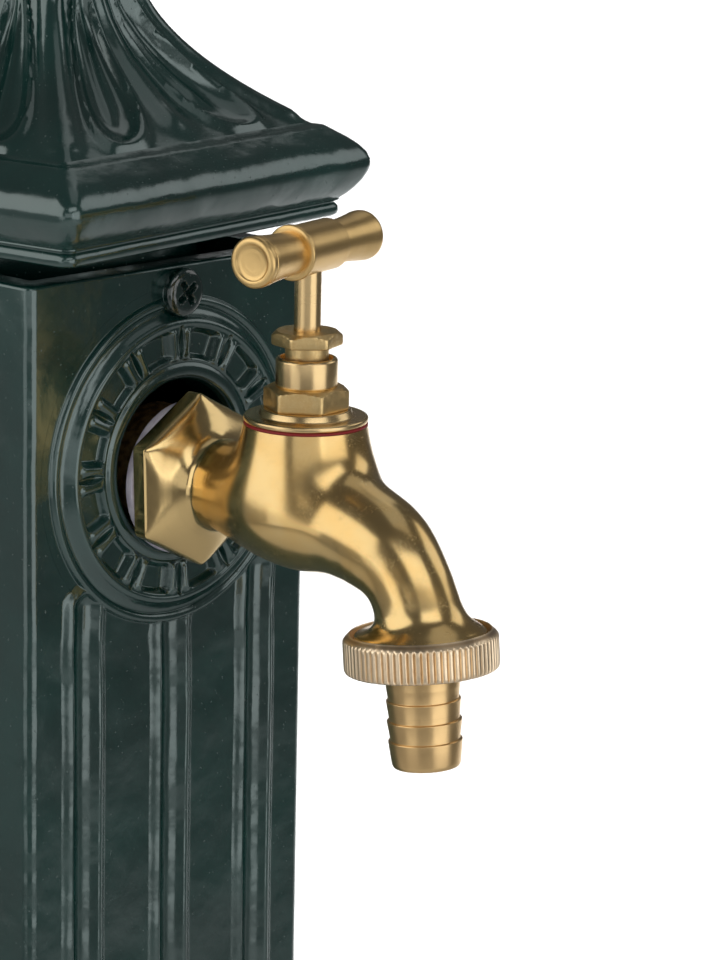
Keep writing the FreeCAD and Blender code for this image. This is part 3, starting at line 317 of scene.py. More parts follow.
class Finish:
    """A material in the making: one method adds any node, and the rest name patterns that are used again."""

    def __init__(self, name, colour, roughness, metallic=0.0, **constant):
        self.material = bpy.data.materials.new(name)
        self.material.use_nodes = True
        self.tree = self.material.node_tree
        self.shader = next(item for item in self.tree.nodes if item.type == "BSDF_PRINCIPLED")
        self.material.diffuse_color = tuple(colour[:3]) + (1.0,)
        self.put("Base Color", tuple(colour[:3]) + (1.0,))
        self.put("Roughness", roughness)
        self.put("Metallic", metallic)
        for socket, value in constant.items():
            self.put(socket.replace("_", " "), value)
        self.place = self.node("ShaderNodeTexCoord", {}, {}, "Object")

    def put(self, socket, value):
        """Sets or links a socket of the surface shader."""
        self.feed(self.shader.inputs[socket], value)

    def feed(self, socket, value):
        if isinstance(value, Value):
            self.tree.links.new(value.socket, socket)
        else:
            socket.default_value = value

    def node(self, kind, settings, sockets, output=0):
        """Any node: its settings first, then its sockets by name or number."""
        made = self.tree.nodes.new(kind)
        for name, value in settings.items():
            setattr(made, name, value)
        for socket, value in sockets.items():
            self.feed(made.inputs[socket], value)
        return Value(self, made.outputs[output])

    def vector(self, operation, *sockets, output=0):
        """A Vector Math node."""
        return self.node("ShaderNodeVectorMath", {"operation": operation}, dict(enumerate(sockets)), output)

    def moved(self, centre=(0, 0, 0), turn=(0, 0, 0), scale=(1, 1, 1)):
        """The place on the object from a centre in millimetres, turned by an axis' angles and scaled."""
        sockets = {0: self.place, 1: tuple(item * MM for item in centre), 2: turn}
        here = self.node("ShaderNodeMapping", {"vector_type": "TEXTURE"}, sockets)
        return self.vector("MULTIPLY", here, scale)

    def noise(self, size, detail=2.0, roughness=0.5, place=None):
        """Cloudy noise whose lumps are about size millimetres across."""
        sockets = {"Vector": place or self.place, "Scale": 1 / (size * MM), "Detail": detail}
        return self.node("ShaderNodeTexNoise", {}, {**sockets, "Roughness": roughness})

    def mix(self, share, first, second):
        """One colour into another."""
        colours = [item if isinstance(item, Value) else tuple(item[:3]) + (1.0,) for item in (first, second)]
        return self.node("ShaderNodeMix", {"data_type": "RGBA"}, {0: share, 6: colours[0], 7: colours[1]}, 2)

    def bump(self, height, depth, strength=1.0, under=None):
        """Raises the surface by a height from 0 to 1 times a depth in millimetres, on top of another bump."""
        sockets = {"Height": height, "Distance": depth * MM, "Strength": strength}
        if under is not None:
            sockets["Normal"] = under
        return self.node("ShaderNodeBump", {}, sockets)

    def round_place(self, centre, turn=(0, 0, 0)):
        """Radius and height about an axis through a centre."""
        here = self.moved(centre, turn)
        radius = self.vector("LENGTH", self.vector("MULTIPLY", here, (1, 1, 0)), output="Value")
        return radius, self.node("ShaderNodeSeparateXYZ", {}, {0: here}, 2)

    def turning(self, centre, turn=(0, 0, 0), size=0.25):
        """Tool marks of a lathe: noise that changes with radius and height about the axis, not with angle."""
        radius, height = self.round_place(centre, turn)
        place = self.node("ShaderNodeCombineXYZ", {}, {0: radius, 1: height, 2: 0.0})
        return self.noise(size, 3.0, 0.65, place) * 0.6 + self.noise(size * 6, 2.0, 0.5, place) * 0.4


FINISHES = {}


def colours():
    """The colours of the panel."""
    return bpy.context.scene.fountain_colours


def toned(colour, *shares):
    """A colour with each part multiplied by a share; one share alone counts for all three."""
    return [part * share for part, share in zip(colour, shares * 3 if len(shares) == 1 else shares)]


def enamel():
    """Bottle-green gloss enamel: a hard shine over a lumpy casting, with orange peel, pits and dust."""
    green = colours().enamel
    made = Finish("green_enamel", green, 0.12, IOR=2.15, Specular_IOR_Level=0.5,
                  Specular_Tint=(0.86, 1.0, 0.98, 1.0))
    shade = made.mix(made.noise(26, 3, 0.55).rise(0.35, 0.7), toned(green, 0.8), toned(green, 1.25))
    specks = made.noise(0.6, 1, 0.5).rise(0.74, 0.79)
    made.put("Base Color", made.mix(specks * 0.5, shade, (0.10, 0.13, 0.12)))
    made.put("Roughness", 0.14 + made.noise(9, 2, 0.5) * 0.10 + specks * 0.3)
    lumps = made.bump(made.noise(17, 1, 0.4), 1.0)
    swells = made.bump(made.noise(5.2, 1, 0.4), 0.17, 1.0, lumps)
    peel = made.bump(made.noise(1.5, 1, 0.5), 0.024, 1.0, swells)
    made.put("Normal", made.bump(specks, 0.06, 0.6, peel))
    return made.material


def screw_enamel():
    """The screws' dark paint, thinner and worn in the recess."""
    dark = toned(colours().enamel, 0.6)
    made = Finish("green_screws", dark, 0.2, IOR=1.9)
    worn = made.noise(0.9, 3, 0.6).rise(0.6, 0.72)
    made.put("Base Color", made.mix(worn * 0.4, dark, (0.10, 0.11, 0.10)))
    made.put("Roughness", 0.12 + worn * 0.25)
    made.put("Normal", made.bump(made.noise(0.9, 2, 0.5), 0.04))
    return made.material


def polished_brass():
    """Polished casting brass: soft waves, fine pits in patches, hairline scratches and a little tarnish."""
    gold = colours().brass
    made = Finish("polished_brass", gold, 0.07, 1.0)
    cloud = made.noise(11, 3, 0.55)
    tarnish = made.noise(3.2, 3, 0.6).rise(0.58, 0.78)
    warm = made.mix(cloud.rise(0.3, 0.75), gold, toned(gold, 1.02, 0.93, 0.78))
    made.put("Base Color", made.mix(tarnish * 0.22, warm, (0.42, 0.27, 0.10)))
    patch = made.noise(9, 2, 0.5).rise(0.45, 0.62)
    pits = made.noise(0.26, 1.5, 0.5).rise(0.70, 0.77) * patch
    slanted = made.moved((0, VALVE_Y, INLET), (0.5, 0.2, 0.4), (0.05, 1, 1))
    lines = made.noise(0.2, 2, 0.5, slanted).rise(0.62, 0.7) * made.noise(5, 1, 0.5).rise(0.5, 0.6)
    made.put("Roughness", 0.17 + cloud * 0.08 + pits * 0.2 + lines * 0.08)
    waves = made.bump(made.noise(8.5, 1, 0.4), 0.07)
    marks = made.bump(1.0 - pits, 0.02, 1.0, waves)
    made.put("Normal", made.bump(1.0 - lines, 0.008, 1.0, marks))
    return made.material


def turned_brass(name, centre, turn, colour, rough=0.2, size=0.25, depth=0.012):
    """Brass from the lathe: lines round its axis that spread the shine, with a few deeper ones."""
    made = Finish(name, colour, rough, 1.0)
    marks = made.turning(centre, turn, size)
    deep = marks.rise(0.56, 0.68)
    made.put("Base Color", made.mix(deep * 0.35, colour, toned(colour, 0.72)))
    made.put("Roughness", rough + made.noise(2.5, 2, 0.5) * 0.10 + deep * 0.06)
    made.put("Normal", made.bump(made.noise(1.4, 2, 0.5), 0.006, 1.0, made.bump(marks, depth)))
    return made.material


def milled_brass():
    """Rough facets of the nuts and the flange: brushed along the tap's axis, with dents and dull patches."""
    gold = colours().brass
    made = Finish("rough_brass", gold, 0.3, 1.0)
    brushed = made.noise(0.24, 3, 0.6, made.moved(scale=(1, 0.06, 1)))
    dull = made.noise(2.6, 3, 0.6).rise(0.42, 0.66)
    base = made.mix(dull * 0.3, gold, (0.60, 0.38, 0.15))
    made.put("Base Color", made.mix(brushed.rise(0.5, 0.75) * 0.35, base, (0.95, 0.78, 0.48)))
    made.put("Roughness", 0.28 + dull * 0.16 + brushed * 0.12)
    made.put("Normal", made.bump(made.noise(1.6, 3, 0.6), 0.05, 1.0, made.bump(brushed, 0.02)))
    return made.material


def union_brass():
    """The union nut's teeth: pale brass, darker low between the teeth, and dull tops."""
    gold = colours().brass
    made = Finish("knurled_brass", gold, 0.24, 1.0)
    radius, _ = made.round_place(on_spout(0.0), spout_turn())
    # Darker where the radius is low: in the grooves between the teeth and at the chamfered ends
    darker_low = (1.0 - radius.rise(15.75 * MM, 16.4 * MM)) * radius.rise(15.3 * MM, 15.6 * MM)
    stain = made.noise(2.0, 3, 0.6).rise(0.45, 0.7)
    tone = made.mix(darker_low * 0.6, toned(gold, 1.24, 1.36, 2.05), (0.36, 0.20, 0.08))
    made.put("Base Color", made.mix(stain * 0.2, tone, (0.66, 0.44, 0.22)))
    made.put("Roughness", 0.3 + stain * 0.12)
    made.put("Normal", made.bump(made.noise(0.6, 3, 0.6), 0.03))
    return made.material


def mottled(name, metallic, patches, edges, dark, pale, roughness, dulled, bumps, depth, **constant):
    """A plain finish whose patches run from a dark colour to a pale one and dull the shine.

    patches and bumps are each a noise's size in millimetres, detail and roughness; edges are the values of
    the patches' noise between which the colour changes.
    """
    made = Finish(name, pale, roughness, metallic, **constant)
    patch = made.noise(*patches)
    made.put("Base Color", made.mix(patch.rise(*edges), dark, pale))
    if dulled:
        made.put("Roughness", roughness + patch * dulled)
    made.put("Normal", made.bump(made.noise(*bumps), depth))
    return made.material


def galvanised():
    """The riser pipe: dull galvanised steel with soft mottling and draw lines up its length."""
    made = Finish("pipe_galvanised", (0.42, 0.43, 0.43), 0.48, 0.9)
    spots = made.noise(4.5, 3, 0.6)
    made.put("Base Color", made.mix(spots.rise(0.4, 0.6), (0.34, 0.35, 0.36), (0.50, 0.51, 0.50)))
    made.put("Roughness", 0.4 + spots * 0.2)
    made.put("Normal", made.bump(made.noise(0.5, 2, 0.5, made.moved(scale=(1, 1, 0.02))), 0.02))
    return made.material


def yarn():
    """Graphited packing yarn: dark rings of twisted strand."""
    made = Finish("packing", (0.06, 0.055, 0.05), 0.7)
    strand = made.noise(0.5, 2, 0.5, made.moved((0, VALVE_Y, INLET), scale=(0.4, 0.4, 1)))
    made.put("Base Color", made.mix(strand.rise(0.35, 0.65), (0.03, 0.028, 0.025), (0.13, 0.12, 0.10)))
    made.put("Normal", made.bump(strand, 0.12))
    return made.material


def make_finishes():
    """All the finishes, made once before the pieces."""
    gold, red = colours().brass, colours().washer
    sizes = bpy.context.scene.fountain_sizes
    bar = (0, VALVE_Y, INLET + sizes.handle_rise / MM), (0, math.pi / 2, sizes.handle_turn)
    upright = (0, VALVE_Y, INLET), (0, 0, 0)
    FINISHES.update(
        enamel=enamel(), screws=screw_enamel(), polished=polished_brass(), rough=milled_brass(),
        union=union_brass(), pipe=galvanised(), yarn=yarn(),
        flange=turned_brass("flange_brass", (0, 0, INLET), (math.pi / 2, 0, 0), gold, 0.12, 0.4, 0.006),
        headgear=turned_brass("headgear_brass", *upright, (0.83, 0.60, 0.30), 0.2, 0.22),
        handle=turned_brass("handle_brass", *bar, (0.86, 0.59, 0.25), 0.28, 0.2, 0.05),
        tail=turned_brass("tail_brass", on_spout(0), spout_turn(), (0.86, 0.59, 0.28), 0.25, 0.18, 0.025),
        # Bright zinc on steel, with spangles and a thin yellow cast
        zinc=mottled("zinc_steel", 1.0, (1.8, 3, 0.6), (0.35, 0.65), (0.50, 0.50, 0.47), (0.72, 0.71, 0.66),
                     0.28, 0.2, (0.5, 2, 0.5), 0.02),
        # The crimson fibre washer under the bonnet, with fine flecks
        fibre=mottled("red_fibre", 0.0, (0.35, 3, 0.7), (0.35, 0.7), toned(red, 0.7), red,
                      0.5, 0, (0.35, 3, 0.7), 0.02, Specular_IOR_Level=0.4),
        # The pale lavender sealing ring behind the flange: satin plastic with faint flow marks
        seal=mottled("pale_seal", 0.0, (3.0, 2, 0.5), (0.3, 0.7), (0.50, 0.46, 0.56), (0.68, 0.64, 0.72),
                     0.34, 0.15, (0.6, 2, 0.5), 0.008, Specular_IOR_Level=0.5),
        # Black rubber of the washers, matt with a light bloom
        rubber=mottled("black_rubber", 0.0, (1.5, 3, 0.6), (0.4, 0.8), (0.014, 0.014, 0.014),
                       (0.05, 0.05, 0.052), 0.55, 0.2, (0.3, 2, 0.5), 0.01),
        # The elbow behind the port: cast brass gone brown
        elbow=mottled("elbow_brass", 1.0, (2.4, 3, 0.6), (0.35, 0.65), (0.34, 0.19, 0.08), (0.66, 0.42, 0.18),
                      0.34, 0.25, (0.8, 3, 0.6), 0.06))


def on_spout(along):
    """The point at a distance along the spout's last axis, from the nozzle's end plane."""
    return tuple(NOZZLE + NOZZLE_WAY * along)


def spout_turn():
    """The angles that stand an axis' Z along the spout's last axis."""
    return tuple(Vector((0, 0, 1)).rotation_difference(Vector(NOZZLE_WAY)).to_euler())


# The tap's field, and the skin round it. The spout's path is a straight that falls, then a bend to the nozzle

SPOUT_FALL = math.radians(10)
SPOUT_RUN = 18.4
SPOUT_BEND = 20.0
NOZZLE_TILT = math.radians(5.4)
AHEAD = np.array([0, -math.cos(SPOUT_FALL), -math.sin(SPOUT_FALL)])
INWARD = np.array([0, math.sin(SPOUT_FALL), -math.cos(SPOUT_FALL)])
SPOUT_START = np.array([0, VALVE_Y, INLET])
BEND_CENTRE = SPOUT_START + AHEAD * SPOUT_RUN + INWARD * SPOUT_BEND
BEND_TURN = math.pi / 2 - NOZZLE_TILT - SPOUT_FALL
NOZZLE = BEND_CENTRE + (AHEAD * math.sin(BEND_TURN) - INWARD * math.cos(BEND_TURN)) * SPOUT_BEND
NOZZLE_WAY = AHEAD * math.cos(BEND_TURN) + INWARD * math.sin(BEND_TURN)

# Distance along each round and its radius there
SPOUT_RADII = [
    (0, 9.2), (5, 9.3), (12, 9.8), (18.4, 10.5), (22, 10.55), (26, 10.25), (30, 9.6), (34, 9.15), (37, 9.1),
    (40, 9.35), (42, 10.1), (43.2, 11.3), (44.0, 12.9), (44.7, 14.3), (45.4, 14.7), (45.9, 13.6),
    (46.3, 13.2), (52, 13.2)]
NECK_RADII = [(14, 9.8), (16, 9.8), (18, 9.9), (20, 10.2), (24, 11.0), (30, 12.0), (35, 12.5), (40.9, 12.8)]
BARREL_RADII = [(0, 14.8), (4, 14.6), (8, 14.2), (12, 13.7), (18.1, 13.15), (22, 12.85)]
SPOUT_TABLE = blurred(SPOUT_RADII, 0.5)
NECK_TABLE = blurred(NECK_RADII, 1.6)
BARREL_TABLE = blurred(BARREL_RADII, 2.0)
BODY_TOP = INLET + 18.1
NECK_CUT = 20.0          # how far from the wall the skin ends and the flange's own surface takes over
SKIN_LOW = (-18, -133, 686)
SKIN_HIGH = (18, -FACE - NECK_CUT + 1.5, 739)
NOZZLE_CUT = 3.7         # how far the nozzle reaches past its end plane
PAST_NOZZLE = 8.0        # how far the spout's round goes on, to be cut off
BLEND = 3.2              # how broadly the tap's rounds run into each other
BARREL_SHALLOW = 1.65    # the barrel's foot is that much flatter than a half ball


def tap_field(points):
    """How far points are outside the tap's casting, in millimetres; negative inside.

    It blends three rounds: the neck, whose radius grows with the distance from the wall; the valve's barrel,
    an upright round that ends in a flattened half ball; and the spout, a round along a line and an arc, whose
    radius is that of the nearest place on them.
    """
    x, y, z = points[..., 0], points[..., 1], points[..., 2]
    out, rise = -FACE - y, z - INLET
    neck_end = np.maximum(out - NECK_RADII[-1][0], 0)
    neck = np.sqrt(x ** 2 + rise ** 2 + neck_end ** 2) - np.interp(out, *NECK_TABLE)
    from_axis = np.sqrt(x ** 2 + (y - VALVE_Y) ** 2 + (np.minimum(rise, 0) * BARREL_SHALLOW) ** 2)
    barrel = from_axis - np.interp(rise, *BARREL_TABLE)

    offset = points - SPOUT_START
    run = np.clip(offset @ AHEAD, 0, SPOUT_RUN)
    straight = np.linalg.norm(offset - run[..., None] * AHEAD, axis=-1)
    offset = points - BEND_CENTRE
    angle = np.clip(np.arctan2(offset @ AHEAD, -(offset @ INWARD)), 0, BEND_TURN)
    on_arc = (np.sin(angle)[..., None] * AHEAD - np.cos(angle)[..., None] * INWARD) * SPOUT_BEND
    bent = np.linalg.norm(offset - on_arc, axis=-1)
    offset = points - NOZZLE
    past = np.clip(offset @ NOZZLE_WAY, 0, PAST_NOZZLE)
    last = np.linalg.norm(offset - past[..., None] * NOZZLE_WAY, axis=-1)

    far = np.stack([straight, bent, last], axis=-1)
    end = SPOUT_RUN + SPOUT_BEND * BEND_TURN
    along = np.stack([run, SPOUT_RUN + SPOUT_BEND * angle, end + past], axis=-1)
    nearest = far.argmin(axis=-1)[..., None]
    far, place = (np.take_along_axis(item, nearest, axis=-1)[..., 0] for item in (far, along))
    return soft_union([neck, barrel, far - np.interp(place, *SPOUT_TABLE)], BLEND)


def slopes(field, points, step=0.04):
    """The slope of a field along X, Y and Z, from points one step either side."""
    steps = np.eye(3) * step
    return np.stack([field(points + item) - field(points - item) for item in steps], axis=-1) / (2 * step)


def skin(field, low, high, cell):
    """The surface where a field is zero, as (points, quads).

    Each cell of a box of cells that the surface crosses gets one point, at the mean of the crossings of its
    edges, and each crossed edge gets one quad. Then every point moves along the slope to field zero.
    """
    axes = [np.arange(a, b + cell, cell) for a, b in zip(low, high)]
    values = field(np.stack(np.meshgrid(*axes, indexing="ij"), axis=-1))
    inside = values < 0
    corners = np.array([[i, j, k] for i in (0, 1) for j in (0, 1) for k in (0, 1)])
    size = np.array(values.shape) - 1
    count = sum(inside[i:i + size[0], j:j + size[1], k:k + size[2]].astype(int) for i, j, k in corners)
    crossed = (count > 0) & (count < 8)
    cells = np.argwhere(crossed)
    number = np.full(tuple(size), -1)
    number[crossed] = np.arange(len(cells))
    total, hits = np.zeros((len(cells), 3)), np.zeros((len(cells), 1))
    for start in corners:
        for way in np.flatnonzero(start == 0):
            end = start + np.eye(3, dtype=int)[way]
            a, b = values[tuple((cells + start).T)], values[tuple((cells + end).T)]
            cut = ((a < 0) != (b < 0))[:, None]
            share = (a / np.where(a == b, 1, a - b))[:, None]
            total += np.where(cut, start + share * (end - start), 0)
            hits += cut
    points = np.array(low) + (cells + total / hits) * cell
    quads = []
    for way in range(3):
        ahead = np.swapaxes(inside, 0, way)
        edges = np.argwhere(np.swapaxes(ahead[1:] != ahead[:-1], 0, way))
        others = [item for item in range(3) if item != way]
        edges = edges[((edges[:, others] > 0) & (edges[:, others] < size[others])).all(axis=1)]
        ring = []
        for back in ((0, 0), (1, 0), (1, 1), (0, 1)):
            near = edges.copy()
            near[:, others] -= back
            ring.append(number[tuple(near.T)])
        ring = np.stack(ring, axis=-1)
        flip = inside[tuple(edges.T)] == (way == 1)
        ring[flip] = ring[flip][:, ::-1]
        quads.append(ring)
    for _ in range(4):
        slope = slopes(field, points)
        points = points - field(points)[:, None] * slope / (slope ** 2).sum(axis=-1, keepdims=True)
    return points, np.concatenate(quads)


def trimmed(name, points, quads, cuts):
    """A mesh of a surface cut by planes, each (point, outward direction); what is inside them is kept."""
    mesh = bpy.data.meshes.new(name)
    fill_mesh(mesh, points, quads)
    made = bmesh.new()
    made.from_mesh(mesh)
    for place, way in cuts:
        every = made.verts[:] + made.edges[:] + made.faces[:]
        bmesh.ops.bisect_plane(made, geom=every, dist=1e-7, plane_co=Vector(place) * MM, plane_no=Vector(way),
                               clear_outer=True)
    made.to_mesh(mesh)
    made.free()
    return mesh


# Post and rosette

STRIPS = (-26.7, 0.0, 26.7)
STRIP_FOOT = POST_FOOT + 26
STRIP_HALF = 6.3
STRIP_REACH = 7.6        # further than this from its middle line a strip adds nothing
FLUTE_DEEP = 2.0
FLUTE_ROUND = (3.4 ** 2 + FLUTE_DEEP ** 2) / (2 * FLUTE_DEEP)
END_ROUND = 5.2          # rounding of a strip's ends
FRONT_STRIPS = [(STRIPS[0], 696.2, END_ROUND), (STRIPS[1], 690.0, 1.0), (STRIPS[2], 696.2, END_ROUND)]
SIDE_STRIPS = [(middle, POST_TOP - 30, END_ROUND) for middle in STRIPS]
LOW = -3.0               # the height given to what another relief covers
SLOPE_STEP = 0.02


def strip_height(across, up, high, blunt):
    """Height of one reeded strip above the face.

    A raised band with rounded ends (the distance to a rounded box), crowned a little on its two fillets, less
    a round flute: the part of a circle that lies below the band's top. Its middle line wanders a little, as
    the sum of two sines of the height.
    """
    across = across + 0.20 * np.sin(up / 6.3) + 0.13 * np.sin(up / 2.7 + 1.2)
    middle, half = (STRIP_FOOT + high) / 2, (high - STRIP_FOOT) / 2
    edge = rounded_box(np.abs(across) - (STRIP_HALF - blunt), np.abs(up - middle) - (half - blunt), blunt)
    crown = np.clip(1 - ((np.abs(across) - 4.85) / 1.5) ** 2, 0, 1)
    band = np.where(edge > 0.45, 0.0, 1.05 * smooth_step(-edge, -0.5, 2.3) + 0.14 * crown)
    off_end = np.maximum(np.maximum(STRIP_FOOT + 6.5 - up, up - (high - 5.6)), 0)
    from_line = np.hypot(across, off_end)
    dip = np.sqrt(np.maximum(FLUTE_ROUND ** 2 - from_line ** 2, 0)) - (FLUTE_ROUND - FLUTE_DEEP)
    return band - smooth_max(dip, 0.0, 0.8) * (from_line < FLUTE_ROUND) * (edge < 0.4)


def strips_height(across, up, strips):
    """Height of a face's strips, each (middle, top, rounding of its ends)."""
    height = np.zeros_like(across)
    for middle, high, blunt in strips:
        strip = strip_height(across - middle, up, high, blunt)
        height = np.where(np.abs(across - middle) < STRIP_REACH, strip, height)
    return height


def side_height(across, up):
    """Height of the relief of the sides and the back: three strips that stop below the top."""
    return strips_height(across, up, SIDE_STRIPS)


ROSE_PROFILE = [
    (18.3, 0.6), (18.55, 1.5), (19.1, 2.15), (19.8, 2.5), (20.6, 2.6), (21.4, 2.5), (22.0, 2.2), (22.4, 2.02),
    (22.9, 2.2), (23.4, 2.4), (29.8, 2.45), (30.5, 2.5), (31.2, 2.75), (31.8, 2.55), (32.5, 1.75),
    (33.3, 0.95), (34.1, 0.5), (34.7, 0.4), (35.1, 0.85), (35.6, 1.2), (36.1, 1.3), (36.6, 1.1), (37.0, 0.5),
    (37.2, -0.2), (37.6, -2.0)]
PORT = 18.3
ROSE_OPEN = 38.6         # the post's skin is left open within this radius of the rosette's middle
ROSE_LIFT = 0.035        # the rosette's disc laps over the skin's opening, raised by this much


def rosette_height(radius, bearing):
    """Height of the rosette above the face, from the distance to its middle and the bearing in degrees.

    A turned profile, less twelve sunk panels (rounded boxes in radius and arc length) and twelve pointed
    slots that lie between pairs of ribs.
    """
    height = through(radius, ROSE_PROFILE)
    from_panel, from_slot = (np.abs((bearing - middle + 15.0) % 30.0 - 15.0) for middle in (75.0, 90.0))
    arc = radius * np.pi / 180
    blunt = 1.1
    edge = rounded_box((from_panel - 8.3) * arc + blunt, np.abs(radius - 26.55) - 3.15 + blunt, blunt)
    height = height - 1.9 * smooth_step(-edge, -0.7, 0.95)
    long = np.sqrt(np.clip(1 - ((radius - 27.0) / 3.9) ** 2, 0, 1))
    height = height - 1.35 * long * smooth_step(1 - from_slot * arc / (1.15 * long + 0.02), 0.0, 0.9)
    rib = np.exp(-(((from_slot - 4.3) * arc) / 0.85) ** 2)
    return height + 0.5 * rib * smooth_step(radius, 22.6, 24.5) * (1 - smooth_step(radius, 29.0, 30.6))


def front_height(across, up):
    """Height of the front face's relief: the strips, and the rosette over them where it stands higher."""
    above = up - ROSE_HEIGHT
    radius, bearing = np.hypot(across, above), np.degrees(np.arctan2(above, across))
    strips = np.where(radius < 36.6, LOW, strips_height(across, up, FRONT_STRIPS))
    return smooth_max(strips, np.where(radius > 37.5, LOW, rosette_height(radius, bearing)), 0.22) - 0.011


def raised(height, across, up, lift=0.0):
    """Points of a face raised by a height at each place, and normals (-slope across, -1, -slope up)."""
    step = SLOPE_STEP
    slope_across = (height(across + step, up) - height(across - step, up)) / (2 * step)
    slope_up = (height(across, up + step) - height(across, up - step)) / (2 * step)
    return spread(across, -FACE - (height(across, up) + lift), up), spread(-slope_across, -1.0, -slope_up)


def with_normals(points, normals):
    """A grid that closes on its first row, as (points, quads, unit normals); quads agree with the normals."""
    points, quads = surface(points, wrap_rows=True, wrap_columns=False)
    normals = unit(normals.reshape(-1, 3))
    a, b, c = (points[quads[:, i]] for i in range(3))
    wrong = (np.cross(b - a, c - a) * normals[quads].mean(axis=1)).sum(axis=1) < 0
    return points, np.where(wrong[:, None], quads[:, ::-1], quads), normals


def strip_columns(flat_step):
    """Places across a face: close together on each strip's flanks and flute, wide apart between strips."""
    near = np.array([0, 0.5, 1.0, 1.5, 2.0, 2.4, 2.8, 3.1, 3.35, 3.6, 3.9, 4.4, 4.9, 5.3, 5.6, 5.85, 6.1,
                     6.35, 6.6, 6.9])
    near = np.concatenate([-near[:0:-1], near])
    flats = np.arange(-FLAT, FLAT + 0.01, flat_step)
    flats = flats[np.min(np.abs(flats[:, None] - np.array(STRIPS)), axis=1) > 7.2]
    return places(np.concatenate([middle + near for middle in STRIPS] + [flats, [-FLAT, FLAT]]))


def post_skin():
    """The post's outside as one closed tube of columns, with its relief; the rosette's disc is left open.

    Across each face the point stands at the face plus the relief; the four corners are arcs.
    """
    rows = places([POST_FOOT, POST_FOOT + 8, POST_FOOT + 18, FACE_TOP], (118, 134, 0.8), (134, 676, 24.0),
                  (676, 704, 0.55), (704, 728, 0.8), (728, 736, 0.7), (736, FACE_TOP, 1.0))
    swing = np.linspace(0, np.pi / 2, 8)[1:-1, None]
    points, normals = [], []
    for side in range(4):
        across, up = np.meshgrid(strip_columns(6.0 if side else 0.8), rows, indexing="ij")
        flat, facing = raised(side_height if side else front_height, across, up)
        bend = spread(FLAT + CORNER * np.sin(swing), -FLAT - CORNER * np.cos(swing), rows)
        outwards = spread(np.sin(swing), -np.cos(swing), 0 * rows)
        points.append(spun(np.concatenate([flat, bend]), side * np.pi / 2))
        normals.append(spun(np.concatenate([facing, outwards]), side * np.pi / 2))
    points, quads, normals = with_normals(np.concatenate(points), np.concatenate(normals))
    middle = points[quads].mean(axis=1)
    gone = (middle[:, 1] < -FACE + 2) & (np.hypot(middle[:, 0], middle[:, 2] - ROSE_HEIGHT) < ROSE_OPEN)
    return points, quads[~gone], normals


def rosette_skin():
    """The rosette and the ring of face round it, on a polar grid: one row a bearing, one column a radius."""
    sector = places([], (0, 7.2, 0.4), (7.2, 9.6, 0.5), (9.6, 15.01, 1.2))
    sector = places(np.concatenate([sector, 30 - sector]))[:-1]
    angle = np.radians((np.arange(12)[:, None] * 30 + sector + 90).reshape(-1, 1))
    radii = places([], (PORT, 23.2, 0.2), (23.2, 24.4, 0.18), (24.4, 28.6, 0.45), (28.6, 31.4, 0.2),
                   (31.4, 37.4, 0.22), (37.4, 39.61, 0.35))
    across, up = radii * np.cos(angle), ROSE_HEIGHT + radii * np.sin(angle)
    return with_normals(*raised(front_height, across, up, ROSE_LIFT))


class FOUNTAIN_OT_post(bpy.types.Operator):
    """Makes the post casting: its reeded outside, its rosette, its lining and its top rim."""

    bl_idname = "fountain.post"
    bl_label = "Post"

    def execute(self, context):
        for name, make, node in (("post_casting", post_skin, "post"), ("post_rosette", rosette_skin, None)):
            *shape, normals = make()
            piece(name, "enamel", [shape], node, normals=normals)
        wall, ledge = FACE - 7, POST_TOP - 20
        profile = [(FACE, FACE_TOP), (42.94, 763.5), (42.75, 763.72), (42.5, 763.85), (42.2, POST_TOP),
                   (36.5, POST_TOP), (36.2, 763.8), (wall, 763.5), (wall, ledge), (28, ledge),
                   (28, ledge - 4), (wall, ledge - 4), (wall, POST_FOOT), (FACE, POST_FOOT)]
        corner = [max(1.0, half - FLAT) for half, _ in profile]
        port = turned([(PORT, 0.55), (PORT, -7.0)], 144, (0, -FACE, ROSE_HEIGHT), (0, -1, 0))
        boss = even([(2.5, -8), (2.5, 1.4), (4.7, 1.4), (4.7, -0.2)], 0.3)
        bosses = [turned(boss, 48, (0, side * FACE, CAP_SCREW), (0, side, 0)) for side in (-1, 1)]
        piece("post_lining", "enamel", [moulded(profile, corner), port] + bosses)
        return {"FINISHED"}


class FOUNTAIN_OT_base(bpy.types.Operator):
    """Makes the base casting: foot plate, plinth, cove, lip and the hollow inside."""

    bl_idname = "fountain.base"
    bl_label = "Base"

    def execute(self, context):
        swing = np.linspace(0.05, 1.5, 12)[1:]
        cove = list(zip(56.0 - 10.0 * np.sin(swing), 67 + 23 * (1 - np.cos(swing))))
        outside = [(75, 0.4), (75, 9), (72, 12), (60.5, 12), (59, 13.5), (59, 63.4), (57.6, 66.2)] + cove
        outside += [(46.5, 90.2), (46.5, 95.2), (45.7, POST_FOOT), (35.7, POST_FOOT), (35.7, 119.2),
                    (34.9, 120), (28.7, 120), (28.7, 56), (51, 56), (51, 0.4), (51.4, 0), (74.6, 0),
                    (75, 0.4)]
        soft = (1, 2, 4, 5, 6)
        profile = rounded(outside, [1.2 if i in soft else 0.5 for i in range(len(outside) - 2)], 4)
        corner = np.clip(profile[:, 0] - FLAT, 1.2, 8) * 0.5 + 1.0
        piece("base_casting", "enamel", [moulded(profile, corner, 2, 7)], "base_foot")
        return {"FINISHED"}


# Cap and finial

